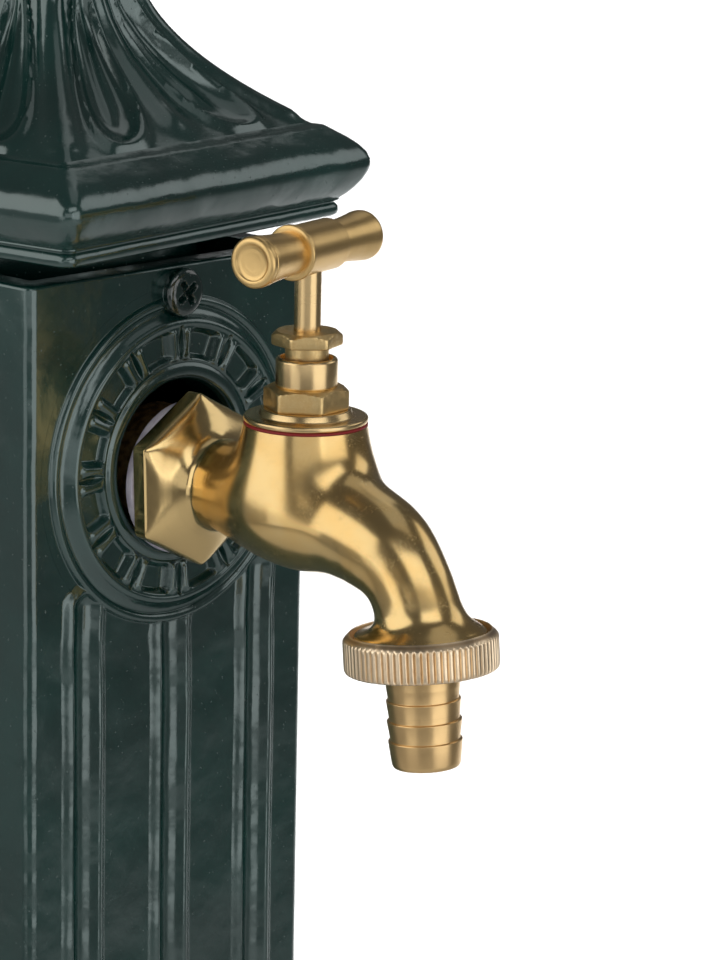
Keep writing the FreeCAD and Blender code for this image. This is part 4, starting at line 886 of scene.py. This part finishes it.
CAP_PROFILE = [
    (30, 0), (47.9, 0), (48.6, 0.5), (48.8, 1.3), (48.7, 2.2), (48.3, 2.75), (48.0, 3.0), (48.1, 3.35),
    (48.6, 3.5), (48.95, 3.75), (48.9, 4.05), (49.3, 4.4), (50.3, 5.2), (51.6, 6.6), (52.9, 8.4),
    (53.8, 10.2), (54.2, 11.7), (54.15, 13.1), (53.5, 14.7), (52.1, 16.4), (50.2, 18.0), (48.3, 19.3),
    (46.9, 20.3), (46.2, 20.75), (45.2, 20.9), (44.2, 21.05), (43.3, 21.6)]
ROOF_FOOT = CAP_PROFILE[-1][1]
ROOF_TOP = 58.0
PAD_TOP = 64.0
PAD_HALF = 15.0


def cap_roof(t):
    """Half width of the roof, a hollow curve from 0 at its foot to 1 at the pad."""
    return PAD_HALF + (CAP_PROFILE[-1][0] - PAD_HALF) * (1 - t) ** 1.75 * (1 - 0.25 * t)


def leaf_relief(place, t):
    """Relief of one roof face. place runs from -1 to 1 across it and t from 0 at the foot to 1 at the top.

    Two big leaves stand either side of a middle rib: each is a hollow with a raised, scalloped rim, and a
    roll runs up each corner.
    """
    side = np.abs(place)
    foot = 0.05 + 0.025 * np.cos((side - 0.5) * 19)
    middle, half = 0.53 - 0.06 * t, 0.31 * (1 - 0.25 * t)
    inside = 1 - np.sqrt((np.abs(side - middle) / half) ** 2 + np.abs((t - 0.47) / 0.45) ** 3.2)
    rim = np.exp(-(inside / 0.12) ** 2)
    hollow = smooth_step(inside, 0.02, 0.42)
    vein = np.exp(-((side - middle) / 0.05) ** 2) * smooth_step(t, foot, 0.25)
    rib = np.exp(-(side / 0.12) ** 2) * smooth_step(t, 0.0, 0.12)
    roll = smooth_step(side, 0.86, 0.97) * smooth_step(t, 0.0, 0.06)
    relief = 1.2 * rim - 1.5 * hollow + 0.9 * vein + 1.3 * rib + 1.0 * roll
    return relief * (1 - smooth_step(t, 0.86, 1.0)) * smooth_step(t, 0.0, 0.025)


class FOUNTAIN_OT_cap(bpy.types.Operator):
    """Makes the cap casting: lip, belly and leafed roof, turned a little on its neck."""

    bl_idname = "fountain.cap"
    bl_label = "Cap"

    def execute(self, context):
        turn = context.scene.fountain_sizes.cap_turn
        profile = np.array(lifted(CAP_PROFILE, CAP_FOOT))
        lower = moulded(profile, np.clip(2.6 + (profile[:, 0] - 46) * 0.15, 1.6, 4.0), 25, 7, turn)
        t = np.linspace(0, 1, 56)
        ring, place = square_ring(cap_roof(t), np.full(len(t), 2.4), 73, 7)
        relief = leaf_relief(np.minimum(place, 1.0), t[:, None])[..., None]
        up = CAP_FOOT + ROOF_FOOT + (ROOF_TOP - ROOF_FOOT) * t
        roof = np.concatenate([ring + unit(ring) * relief * 0.6, up[:, None, None] + relief * 0.8], axis=-1)
        pad = even([(PAD_HALF, ROOF_TOP), (15.6, 58.8), (15.6, 63), (PAD_HALF, PAD_TOP), (3, PAD_TOP)], 0.4)
        pad = moulded(lifted(pad, CAP_FOOT), 3.0, 2, 6, turn)
        piece("cap_casting", "enamel", [lower, surface(spun(roof, turn)), pad], "cap", sharp=48)
        foot = POST_TOP - 19.6 - CAP_FOOT
        neck = even([(35, 0.2), (35, foot), (29, foot), (29, 2.8), (15, 22.4), (9, 46), (4.25, 46)], 0.6)
        piece("cap_neck", "enamel", [turned(neck, 96, (0, 0, CAP_FOOT))])
        return {"FINISHED"}


FINIAL = [
    (0, 12.5), (2.6, 12.5), (3.6, 11.6), (6.5, 8.4), (10, 7.2), (13, 7.6), (14.4, 9.2), (15.6, 9.6),
    (17, 10.0), (19, 12.2), (23, 15.0), (28, 15.9), (34, 15.2), (42, 12.0), (50, 8.6), (58, 5.7),
    (62, 4.6), (64.4, 3.2), (65.6, 1.6), (66, 0.01)]
LOBES = 10


class FOUNTAIN_OT_finial(bpy.types.Operator):
    """Makes the finial: a gadrooned bud on a waisted foot."""

    bl_idname = "fountain.finial"
    bl_label = "Finial"

    def execute(self, context):
        foot = CAP_FOOT + PAD_TOP
        tip = 60 + 6 * np.sin(np.linspace(0, np.pi / 2, 16))
        rise = np.unique(np.concatenate([np.linspace(0, 60, 110), tip]))[:, None]
        angle = round_turn(192)
        wave = np.abs(np.cos(angle * LOBES / 2))
        share = smooth_step(rise, 17.5, 22) * (1 - smooth_step(rise, 54, 63))
        radius = through(rise, FINIAL) * (1 - 0.13 * share * (1 - wave ** 0.7))
        radius = radius + 0.7 * np.exp(-((rise - (24 + 7 * wave ** 2)) / 1.3) ** 2) * share
        bud = surface(polar(radius, angle, foot + rise))
        piece("finial_bud", "enamel", [bud, turned([(4.15, foot), (12.5, foot)], 192)], "finial", sharp=50)
        return {"FINISHED"}


def screw_head(centre, way, radius=5.4):
    """A pan head with a cross recess, on a polar grid about its axis, and its shank.

    The dome's height falls from the middle to the rim by a round; the recess takes away two crossed slots
    whose depth runs out towards their ends.
    """
    thick, turn = 2.3, 0.6
    radii = np.concatenate([[0.0], np.linspace(0.15, 3.2, 16), np.linspace(3.4, radius * 0.86, 8),
                            radius * np.array([0.91, 0.95, 0.98, 0.995, 1.0])])[:, None]
    angle = round_turn(96)
    dome = thick * (0.45 + 0.55 * np.sqrt(np.clip(1 - (radii / radius) ** 5, 0, 1)))
    near = radii * np.minimum(np.abs(np.sin(angle - turn)), np.abs(np.cos(angle - turn)))
    reach = 1 - smooth_step(radii, 2.3, 3.3)
    dip = 1.9 * reach * (1 - smooth_step(near, 0.35 + 0.15 * reach, 0.95))
    rim = turned([(radius, 0.4 * thick), (radius, 0)], 96, centre, way)
    shank = turned([(radius, 0), (2.05, 0), (2.05, -15.5), (0.01, -17)], 96, centre, way)
    return [surface(stood(polar(radii, angle, dome - dip), centre, way)), rim, shank]


class FOUNTAIN_OT_screws(bpy.types.Operator):
    """Makes the cap's two screws and the base's four."""

    bl_idname = "fountain.screws"
    bl_label = "Screws"

    def execute(self, context):
        pair = screw_head((0.8, -FACE - 1.3, CAP_SCREW), (0, -1, 0))
        pair += screw_head((0, FACE + 1.4, CAP_SCREW), (0, 1, 0))
        piece("cap_screw_pair", "screws", pair, "cap_screws", sharp=45)
        four = []
        for x, y in ((0, -1), (1, 0), (0, 1), (-1, 0)):
            four += screw_head((x * FACE, y * FACE, BASE_SCREW), (x, y, 0), 5.1)
        piece("base_screw_set", "screws", four, "base_screws", sharp=45)
        return {"FINISHED"}


# Tap

def soft_hexagon(flat, bearing, power):
    """Radius of an outline between a circle (power 4) and a sharp hexagon (power 60 and more).

    The radius is half the width across flats over the power mean of three |cosines|, scaled to touch them.
    """
    total = sum(np.abs(np.cos(bearing - side * np.pi / 3)) ** power for side in range(3))
    return flat / 2 * ((1 + 2 * 0.5 ** power) / total) ** (1 / power)


def hexagon(flat, bearing):
    """Radius of a hexagon: half its width across flats over the cosine of the angle from the nearest flat's
    middle, with the corners eased."""
    from_flat = (bearing + np.pi / 6) % (np.pi / 3) - np.pi / 6
    limit = flat / 2 / math.cos(math.pi / 6) - 0.175
    return limit - smooth_max(limit - flat / 2 / np.cos(from_flat), 0.0, 0.15)


FLANGE_TURN = math.radians(2)
# Distance out from the wall, share of the flange's half width, power of the outline
FLANGE = [
    (5.2, 0.0, 60), (5.2, 0.90, 60), (5.22, 0.955, 60), (5.4, 0.985, 60), (5.8, 1.0, 60), (7.2, 1.0, 60),
    (8.7, 1.0, 55), (9.15, 0.992, 40), (9.55, 0.977, 28), (10.0, 0.953, 19), (10.5, 0.919, 13),
    (11.05, 0.876, 9.5), (11.65, 0.824, 7.4), (12.3, 0.766, 6.2), (12.95, 0.71, 5.4), (13.6, 0.662, 4.9),
    (14.3, 0.622, 4.5), (15.1, 0.59, 4.3), (16.1, 0.573, 4.1), (17.2, 0.569, 4.15), (18.5, 0.575, 4.0),
    (20.0, 0.592, 4.0)]
FLANGE_STEPS = 5


def flange_skin(width):
    """The flange and neck: the outline at each station lies between a hexagon and a circle.

    Towards its inner end the outline becomes that of the tap's casting, so that the two meet without a step.
    """
    stations = np.array(FLANGE)
    index = np.arange(len(stations))
    fine = np.linspace(0, index[-1], index[-1] * FLANGE_STEPS + 1)
    out, share, power = (through(fine, list(zip(index, column)))[:, None] for column in stations.T)
    bearing = round_turn(288)
    radius = soft_hexagon(width, bearing - FLANGE_TURN, power) * share

    def placed(radius):
        return spread(radius * np.cos(bearing), -FACE - out, INLET + radius * np.sin(bearing))

    cast = radius
    for _ in range(6):
        cast = cast - tap_field(placed(cast))
    inner = smooth_step(out, 14.0, 19.5)
    return surface(placed(radius * (1 - inner) + cast * inner))


class FOUNTAIN_OT_tap_casting(bpy.types.Operator):
    """Makes the tap's casting: the hexagonal flange, and the blended neck, barrel and spout in one skin."""

    bl_idname = "fountain.tap_casting"
    bl_label = "Tap casting"

    def execute(self, context):
        sizes = context.scene.fountain_sizes
        points, quads = skin(tap_field, SKIN_LOW, SKIN_HIGH, sizes.skin_cell / MM)
        cuts = [((0, 0, BODY_TOP), (0, 0, 1)), ((0, -FACE - NECK_CUT, 0), (0, 1, 0)),
                (on_spout(NOZZLE_CUT), NOZZLE_WAY)]
        mesh = trimmed("tap_casting", points, quads, cuts)
        where = np.zeros(len(mesh.vertices) * 3, np.float32)
        mesh.vertices.foreach_get("co", where)
        normals = unit(slopes(tap_field, where.reshape(-1, 3).astype(float) / MM))
        mesh.shade_smooth()
        mesh.normals_split_custom_set_from_vertices(normals.tolist())
        shown("tap_casting", mesh, "polished", "tap_body")
        rim = turned(even([(13.4, 18.1), (10.5, 18.1), (10.5, 11), (8.3, 11)], 0.2), 96, (0, VALVE_Y, INLET))
        mouth = turned([(13.2, NOZZLE_CUT), (9.2, NOZZLE_CUT), (9.0, 3.5), (9.0, -1), (0.01, -1)], 96,
                       on_spout(0), NOZZLE_WAY)
        tail = turned(even([(0.01, 5.6), (6.0, 5.6), (10.45, 5.6), (10.45, -8), (6, -8), (6, 4)], 0.4), 72,
                      (0, -FACE, INLET), (0, -1, 0))
        piece("tap_rims", "rough", [rim, mouth, tail], slot="polished_brass")
        piece("tap_flange", "flange", [flange_skin(sizes.flange_width / MM)], sharp=70)
        return {"FINISHED"}


def hexagonal(flat, low, high, turn, bevel, rim=0.35):
    """A hexagonal nut blank on the valve's axis: a hexagon cut by a bevel cone at the top, its edges eased.

    The radius at each level is the smaller of the hexagon's and the cone's.
    """
    tall = high - low
    cone_foot = tall - bevel
    levels = np.array([0, 0, 0.12, 0.3, 0.6, 0.5 * tall, cone_foot - 0.4, cone_foot, tall - bevel * 0.75,
                       tall - bevel * 0.5, tall - bevel * 0.25, tall - 0.08, tall, tall])[:, None]
    ease = np.array([1, 1, 0.4, 0.1, 0, 0, 0, 0, 0, 0, 0, 0.15, 0.5, 0.5])[:, None] * rim
    bearing = round_turn(240)
    cone = flat / 2 * 1.16 - np.maximum(levels - cone_foot, 0) / bevel * (flat * 0.105)
    radius = np.minimum(hexagon(flat, bearing - turn - np.pi / 6) - ease, cone)
    radius[0] = radius[-1] = 0.01
    return surface(polar(radius, bearing, low + levels) + np.array([0, VALVE_Y, 0]))


class FOUNTAIN_OT_headgear(bpy.types.Operator):
    """Makes the washer, the bonnet, the gland nut, the spindle with its hub, and the handle bar."""

    bl_idname = "fountain.headgear"
    bl_label = "Headgear"

    def execute(self, context):
        sizes = context.scene.fountain_sizes
        foot = BODY_TOP + 0.6
        cup_top = foot + 14.0
        gland = cup_top + 2.6
        axis = (0, VALVE_Y, 0)
        washer = even([(10.6, 0), (13.3, 0), (13.42, 0.3), (13.3, 0.6), (10.6, 0.6)], 0.1)
        washer = turned(washer, 120, (0, VALVE_Y, BODY_TOP))
        piece("bonnet_washer_ring", "fibre", [washer], "bonnet_washer")

        base = rounded([(6, 0), (13.1, 0), (13.45, 0.35), (13.45, 1.1), (13.15, 1.4), (10.4, 1.42),
                        (10.2, 1.6), (9.6, 2.95), (6, 2.95)], [0.1, 0.2, 0.2, 0.2, 0.15, 0.15, 0.3], 4)
        cup = rounded([(6.2, 7.4), (6.7, 7.8), (6.7, 13.5), (6.3, 14.0), (5.75, 14.0), (5.7, 9.8),
                       (2.95, 9.8)], [0.2, 0.2, 0.25, 0.1, 0.1], 4)
        tail = [(6, 0), (10.45, 0), (10.45, -6.4), (5.1, -6.4), (5.05, 7.8)]
        at_foot = (0, VALVE_Y, foot)
        parts = [turned(profile, count, at_foot) for profile, count in ((base, 120), (cup, 96), (tail, 72))]
        piece("bonnet_turned", "headgear", parts, "bonnet")
        hexed = hexagonal(sizes.bonnet_flat / MM, foot + 2.9, foot + 7.7, math.radians(4.5), 0.9)
        piece("bonnet_hexagon", "rough", [hexed], sharp=28)
        hexed = hexagonal(sizes.gland_flat / MM, gland, gland + 3.2, math.radians(18.4), 1.2, 0.7)
        neck = turned(even([(4.7, gland + 0.4), (4.7, cup_top - 1.6), (2.95, cup_top - 1.6)], 0.1), 72, axis)
        piece("gland_nut_milled", "rough", [hexed, neck], "gland_nut", sharp=28)

        middle = INLET + sizes.handle_rise / MM
        low = INLET + 7.6
        stem = [(0.01, low), (4.6, low), (5.0, low + 0.4), (5.0, low + 9), (2.9, low + 9.5),
                (2.9, middle - 4.9), (2.9, middle - 4)]
        piece("spindle_turned", "headgear", [turned(stem, 72, axis)], "spindle", body="spindle")
        way = (math.cos(sizes.handle_turn), math.sin(sizes.handle_turn), 0)
        centre = (0, VALVE_Y, middle)
        hub = rounded([(3.2, -7.5), (5.3, -7.5), (5.95, -7.3), (6.05, -6.8), (6.0, -6.3), (5.75, -6.05),
                       (5.6, -5.8), (5.55, 7.9), (5.35, 8.2), (3.2, 8.2)],
                      [0.2, 0.3, 0.3, 0.3, 0.15, 0.2, 0.15, 0.1], 4)
        piece("handle_hub", "handle", [turned(hub, 120, centre, way)], body="spindle")
        half = sizes.handle_length / MM / 2
        end = lifted([(0.01, 0.55), (3.0, 0.5), (3.7, 0.35), (4.0, 0.04), (4.45, 0), (5.0, 0.12), (5.4, 0.5),
                      (5.52, 1.0), (5.5, 1.6), (5.36, 1.75), (5.34, 1.95), (5.46, 2.1), (5.4, 3.2),
                      (4.95, 7.5)], -half)
        end = rounded(end + [(4.62, -7.9), (4.6, -7.4), (3.2, -7.4)],
                      [0.3] * 3 + [0.25] * 5 + [0.12] * 4 + [1.5, 0.3, 0.1], 4)
        other = [(3.2, 8.1), (4.45, 8.1), (4.5, 8.6)]
        other += lifted([(4.95, -6.5), (5.42, -2.4), (5.5, -1.3), (5.4, -0.5), (5.0, -0.1), (4.4, 0),
                         (4.0, -0.04), (3.6, -0.35), (3.0, -0.5), (0.01, -0.55)], half)
        ends = [turned(profile, 96, centre, way) for profile in (end, even(other, 0.4))]
        piece("handle_bar_turned", "handle", ends, "handle_bar", body="spindle")
        return {"FINISHED"}


class FOUNTAIN_OT_union(bpy.types.Operator):
    """Makes the knurled union nut, the barbed hose tail and the sealing ring at the wall."""

    bl_idname = "fountain.union"
    bl_label = "Hose union"

    def execute(self, context):
        on_nozzle = on_spout(0), NOZZLE_WAY
        tooth = 10
        count = context.scene.fountain_sizes.nut_teeth * tooth
        bearing = round_turn(count)
        ripple = np.sin(bearing * 7 + 1.0) * 0.35 + np.sin(bearing * 23) * 0.35
        phase = np.arange(count) % tooth / tooth
        groove = np.exp(-((phase - 0.5 - 0.04 * ripple) / (0.15 + 0.03 * ripple)) ** 2)
        outline = [(15.2, 0.0), (15.45, 0.25), (15.85, 0.6), (16.22, 1.0), (16.42, 1.25), (16.55, 1.45),
                   (16.6, 1.75), (16.6, 2.4), (16.6, 4.0), (16.6, 6.0), (16.6, 7.4), (16.55, 7.8),
                   (16.4, 8.1), (16.15, 8.3), (15.8, 8.4)]
        reach, along = np.array(outline).T[..., None]
        cut = smooth_step(along, 1.0, 1.9) * (1 - smooth_step(along, 7.7, 8.35))
        outside = surface(stood(polar(reach - 0.55 * groove * cut, bearing, along - 0.1), *on_nozzle))
        inside = turned(even([(15.2, -0.1), (15.05, 0.1), (14.9, 1.5), (13.3, 1.6), (13.3, 6.7), (8.2, 6.7),
                              (8.2, 8.3), (15.8, 8.3)], 0.1), count, *on_nozzle)
        piece("union_nut_knurled", "union", [outside, inside], "union_nut", body="union_nut", sharp=40)

        steps = [(6.2, 0), (12.5, 0), (12.5, 1.5), (7.95, 1.5), (7.9, 6.5), (7.55, 9.35)]
        barbs = (8.0, 7.5, 9.45, 13.75), (8.05, 7.45, 13.85, 18.1), (7.95, 7.4, 18.2, 23.2)
        for ridge, foot, level, end in barbs:
            steps += [(ridge - 0.06, level), (ridge, level + 0.15), (foot, end)]
        steps = lifted(steps + [(7.15, 23.9), (6.8, 24.1), (6.2, 24.1), (6.2, 0)], NOZZLE_CUT + 1.5)
        piece("hose_tail_barbed", "tail", [turned(even(steps, 0.12, 3), 120, *on_nozzle)], "hose_tail",
              body="hose_tail", sharp=24)
        ring = even([(10.7, 2.7), (16.8, 2.7), (17.2, 3.1), (17.2, 4.8), (16.8, 5.2), (10.7, 5.2),
                     (10.7, 2.7)], 0.3)
        ring = turned(ring, 120, (-0.1, -FACE, INLET - 0.2), (0, -1, 0))
        piece("wall_ring_moulded", "seal", [ring], "wall_ring")
        return {"FINISHED"}


INSIDE = {
    "zinc": ("inlet_coupling", "pipe_clip", "plate_screws", "clip_screws", "finial_stud", "finial_nut"),
    "rough": ("jumper", "valve_nut"), "rubber": ("valve_washer", "hose_seal"), "pipe": ("riser_pipe",),
    "elbow": ("elbow",), "yarn": ("gland_packing",),
}


class FOUNTAIN_OT_inside(bpy.types.Operator):
    """Gives the pieces that keep their CAD form their finishes: water way, studs, packing and valve disc."""

    bl_idname = "fountain.inside"
    bl_label = "Inside pieces"

    def execute(self, context):
        for finish, nodes in INSIDE.items():
            for node in nodes:
                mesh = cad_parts[node].data
                mesh.materials.clear()
                mesh.materials.append(FINISHES[finish])
        return {"FINISHED"}


# Stage

CAMERA = Vector((-0.57167, -0.63332, 0.91140))
CAMERA_ANGLES = (-46.997, 13.380, 1.162)     # azimuth, elevation and roll in degrees
AIM = Vector((0, -0.07, 0.72))               # the place on the tap that the soft lights face
# Name, azimuth, elevation, distance, width, height, radiance and colour
SOFTBOXES = (
    ("left", -114, 21, 1.3, 1.6, 1.25, 1.15, (1.0, 0.99, 0.97)),
    ("camera_side", -42, 4, 1.6, 1.6, 0.8, 0.6),
    ("left_face", -128, -13, 1.5, 1.0, 0.5, 0.12),
    ("left_low", -88, -12, 1.4, 0.9, 0.45, 0.7),
    ("front_low", 4, -1, 1.5, 1.35, 1.15, 1.15),
    ("front_high", -16, 38, 1.4, 1.2, 0.45, 1.3),
    ("overhead", 62, 70, 1.4, 1.0, 0.7, 0.3),
    ("right", 66, 26, 1.5, 0.8, 0.7, 0.85),
    ("right_back", 122, 50, 1.5, 0.7, 0.7, 0.4),
)
FLOOR_HALF = 30000.0


def add(name, data):
    """A new object in the scene."""
    thing = bpy.data.objects.new(name, data)
    bpy.context.scene.collection.objects.link(thing)
    return thing


def away(azimuth, elevation):
    """The direction at an azimuth from -Y and an elevation, in degrees."""
    a, e = math.radians(azimuth), math.radians(elevation)
    return Vector((math.sin(a) * math.cos(e), -math.cos(a) * math.cos(e), math.sin(e)))


def area_light(name, width, tall, radiance):
    """A rectangular light of a given radiance."""
    light = bpy.data.lights.new(name, "AREA")
    light.shape = "RECTANGLE"
    light.size, light.size_y = width, tall
    light.energy = radiance * math.pi * width * tall
    return add(name, light)


def softbox(name, azimuth, elevation, distance, width, tall, radiance, colour=(1, 1, 1)):
    """A soft light seen from the tap at an azimuth and elevation in degrees, facing the tap."""
    thing = area_light(name, width, tall, radiance)
    thing.data.color = colour
    way = away(azimuth, elevation)
    thing.location = AIM + way * distance
    thing.rotation_euler = way.to_track_quat("Z", "Y").to_euler()


def floor_light(name, azimuth, near, far, width, height, radiance, spread_angle):
    """A light that hangs over the floor behind the object, between two distances from the camera's foot."""
    thing = area_light(name, width, far - near, radiance)
    thing.data.spread = math.radians(spread_angle)
    middle = CAMERA + away(azimuth, 0) * (near + far) / 2
    thing.location = (middle.x, middle.y, height)
    thing.rotation_euler = (0, 0, math.radians(azimuth) - math.pi)


class FOUNTAIN_OT_stage(bpy.types.Operator):
    """Makes the camera, the pale floor, the soft lights and the sky."""

    bl_idname = "fountain.stage"
    bl_label = "Stage"

    def execute(self, context):
        stage = context.scene.fountain_stage
        camera = bpy.data.cameras.new("camera")
        camera.sensor_width = 36.0
        camera.lens = stage.lens
        camera.clip_start, camera.clip_end = 0.05, 80
        azimuth, elevation, roll = CAMERA_ANGLES
        back, right = away(azimuth, elevation), away(azimuth + 90, 0)
        up = back.cross(right)
        r = math.radians(roll)
        axes = (math.cos(r) * right + math.sin(r) * up, math.cos(r) * up - math.sin(r) * right, back)
        thing = add("camera", camera)
        thing.matrix_world = Matrix.Translation(CAMERA) @ Matrix(axes).transposed().to_4x4()
        context.scene.camera = thing

        mesh = bpy.data.meshes.new("floor")
        corners = FLOOR_HALF * np.array([[-1, -1, 0], [1, -1, 0], [1, 1, 0], [-1, 1, 0]])
        fill_mesh(mesh, corners, np.array([[0, 1, 2, 3]]))
        made = Finish("pale_floor", (0.93, 0.93, 0.93), 0.85)
        pale = made.mix(made.noise(1400, 2, 0.5).rise(0.3, 0.7), (0.92, 0.92, 0.92), (0.94, 0.94, 0.94))
        made.put("Base Color", pale)
        mesh.materials.append(made.material)
        add("floor", mesh)

        for row in SOFTBOXES:
            softbox(*row)
        floor_light("floor_behind", 133, 1.9, 10.5, 3.6, 2.2, 1.35, 55)
        world = bpy.data.worlds.new("studio")
        world.use_nodes = True
        sky = world.node_tree.nodes["Background"].inputs
        sky[0].default_value = (1, 1, 1, 1)
        sky[1].default_value = stage.sky
        context.scene.world = world
        context.scene.view_settings.view_transform = "Standard"
        return {"FINISHED"}


# Settings and panel

def length(name, description, default):
    return FloatProperty(name=name, description=description, default=default, unit="LENGTH")


def angle(name, description, default):
    return FloatProperty(name=name, description=description, default=math.radians(default), subtype="ANGLE")


def colour(name, description, default):
    return FloatVectorProperty(name=name, description=description, default=default, subtype="COLOR")


class FountainSizes(bpy.types.PropertyGroup):
    """Sizes that a maker might change."""

    cap_turn: angle("Cap turn", "How far the cap is turned on its neck", 7.2)
    flange_width: length("Flange", "Width of the tap's hexagonal flange across its flats", 0.0345)
    bonnet_flat: length("Bonnet", "Width of the bonnet's hexagon across its flats", 0.0165)
    gland_flat: length("Gland nut", "Width of the gland nut across its flats", 0.0137)
    handle_rise: length("Handle height", "Height of the handle bar above the inlet", 0.0562)
    handle_length: length("Handle length", "Length of the handle bar", 0.0448)
    handle_turn: angle("Handle turn", "Where the handle bar points at rest", 12)
    nut_teeth: IntProperty(name="Union teeth", description="Number of teeth round the union nut", default=72,
                           min=12)
    skin_cell: length("Skin cell", "Size of the cells that the tap's skin is made from", 0.00055)


class FountainColours(bpy.types.PropertyGroup):
    """Colours of the main finishes."""

    enamel: colour("Enamel", "Colour of the green enamel", (0.002, 0.029, 0.024))
    brass: colour("Brass", "Colour of the polished brass", (0.80, 0.58, 0.265))
    washer: colour("Washer", "Colour of the fibre washer", (0.35, 0.02, 0.02))


class FountainStage(bpy.types.PropertyGroup):
    """The studio round the object."""

    lens: FloatProperty(name="Lens", description="Focal length of the camera in millimetres", default=141.707)
    sky: FloatProperty(name="Sky", description="Strength of the even light from all round", default=0.09)


GROUPS = {"fountain_sizes": FountainSizes, "fountain_colours": FountainColours,
          "fountain_stage": FountainStage}
OPERATORS = (FOUNTAIN_OT_post, FOUNTAIN_OT_base, FOUNTAIN_OT_cap, FOUNTAIN_OT_finial, FOUNTAIN_OT_screws,
             FOUNTAIN_OT_tap_casting, FOUNTAIN_OT_headgear, FOUNTAIN_OT_union, FOUNTAIN_OT_inside,
             FOUNTAIN_OT_stage)


class FOUNTAIN_PT_panel(bpy.types.Panel):
    """Lists the settings and the pieces."""

    bl_idname = "FOUNTAIN_PT_panel"
    bl_label = "Standing fountain"
    bl_space_type = "VIEW_3D"
    bl_region_type = "UI"
    bl_category = "Fountain"

    def draw(self, context):
        column = self.layout.column(align=True)
        for name, group in GROUPS.items():
            for setting in group.__annotations__:
                column.prop(getattr(context.scene, name), setting)
        for operator in OPERATORS:
            column.operator(operator.bl_idname)


CLASSES = tuple(GROUPS.values()) + OPERATORS + (FOUNTAIN_PT_panel,)


def register():
    for item in CLASSES:
        bpy.utils.register_class(item)
    for name, group in GROUPS.items():
        setattr(bpy.types.Scene, name, PointerProperty(type=group))


def unregister():
    for name in GROUPS:
        delattr(bpy.types.Scene, name)
    for item in reversed(CLASSES):
        bpy.utils.unregister_class(item)


def main():
    register()
    make_finishes()
    for operator in OPERATORS:
        group, name = operator.bl_idname.split(".")
        getattr(getattr(bpy.ops, group), name)()


if __name__ == "__main__":
    main()
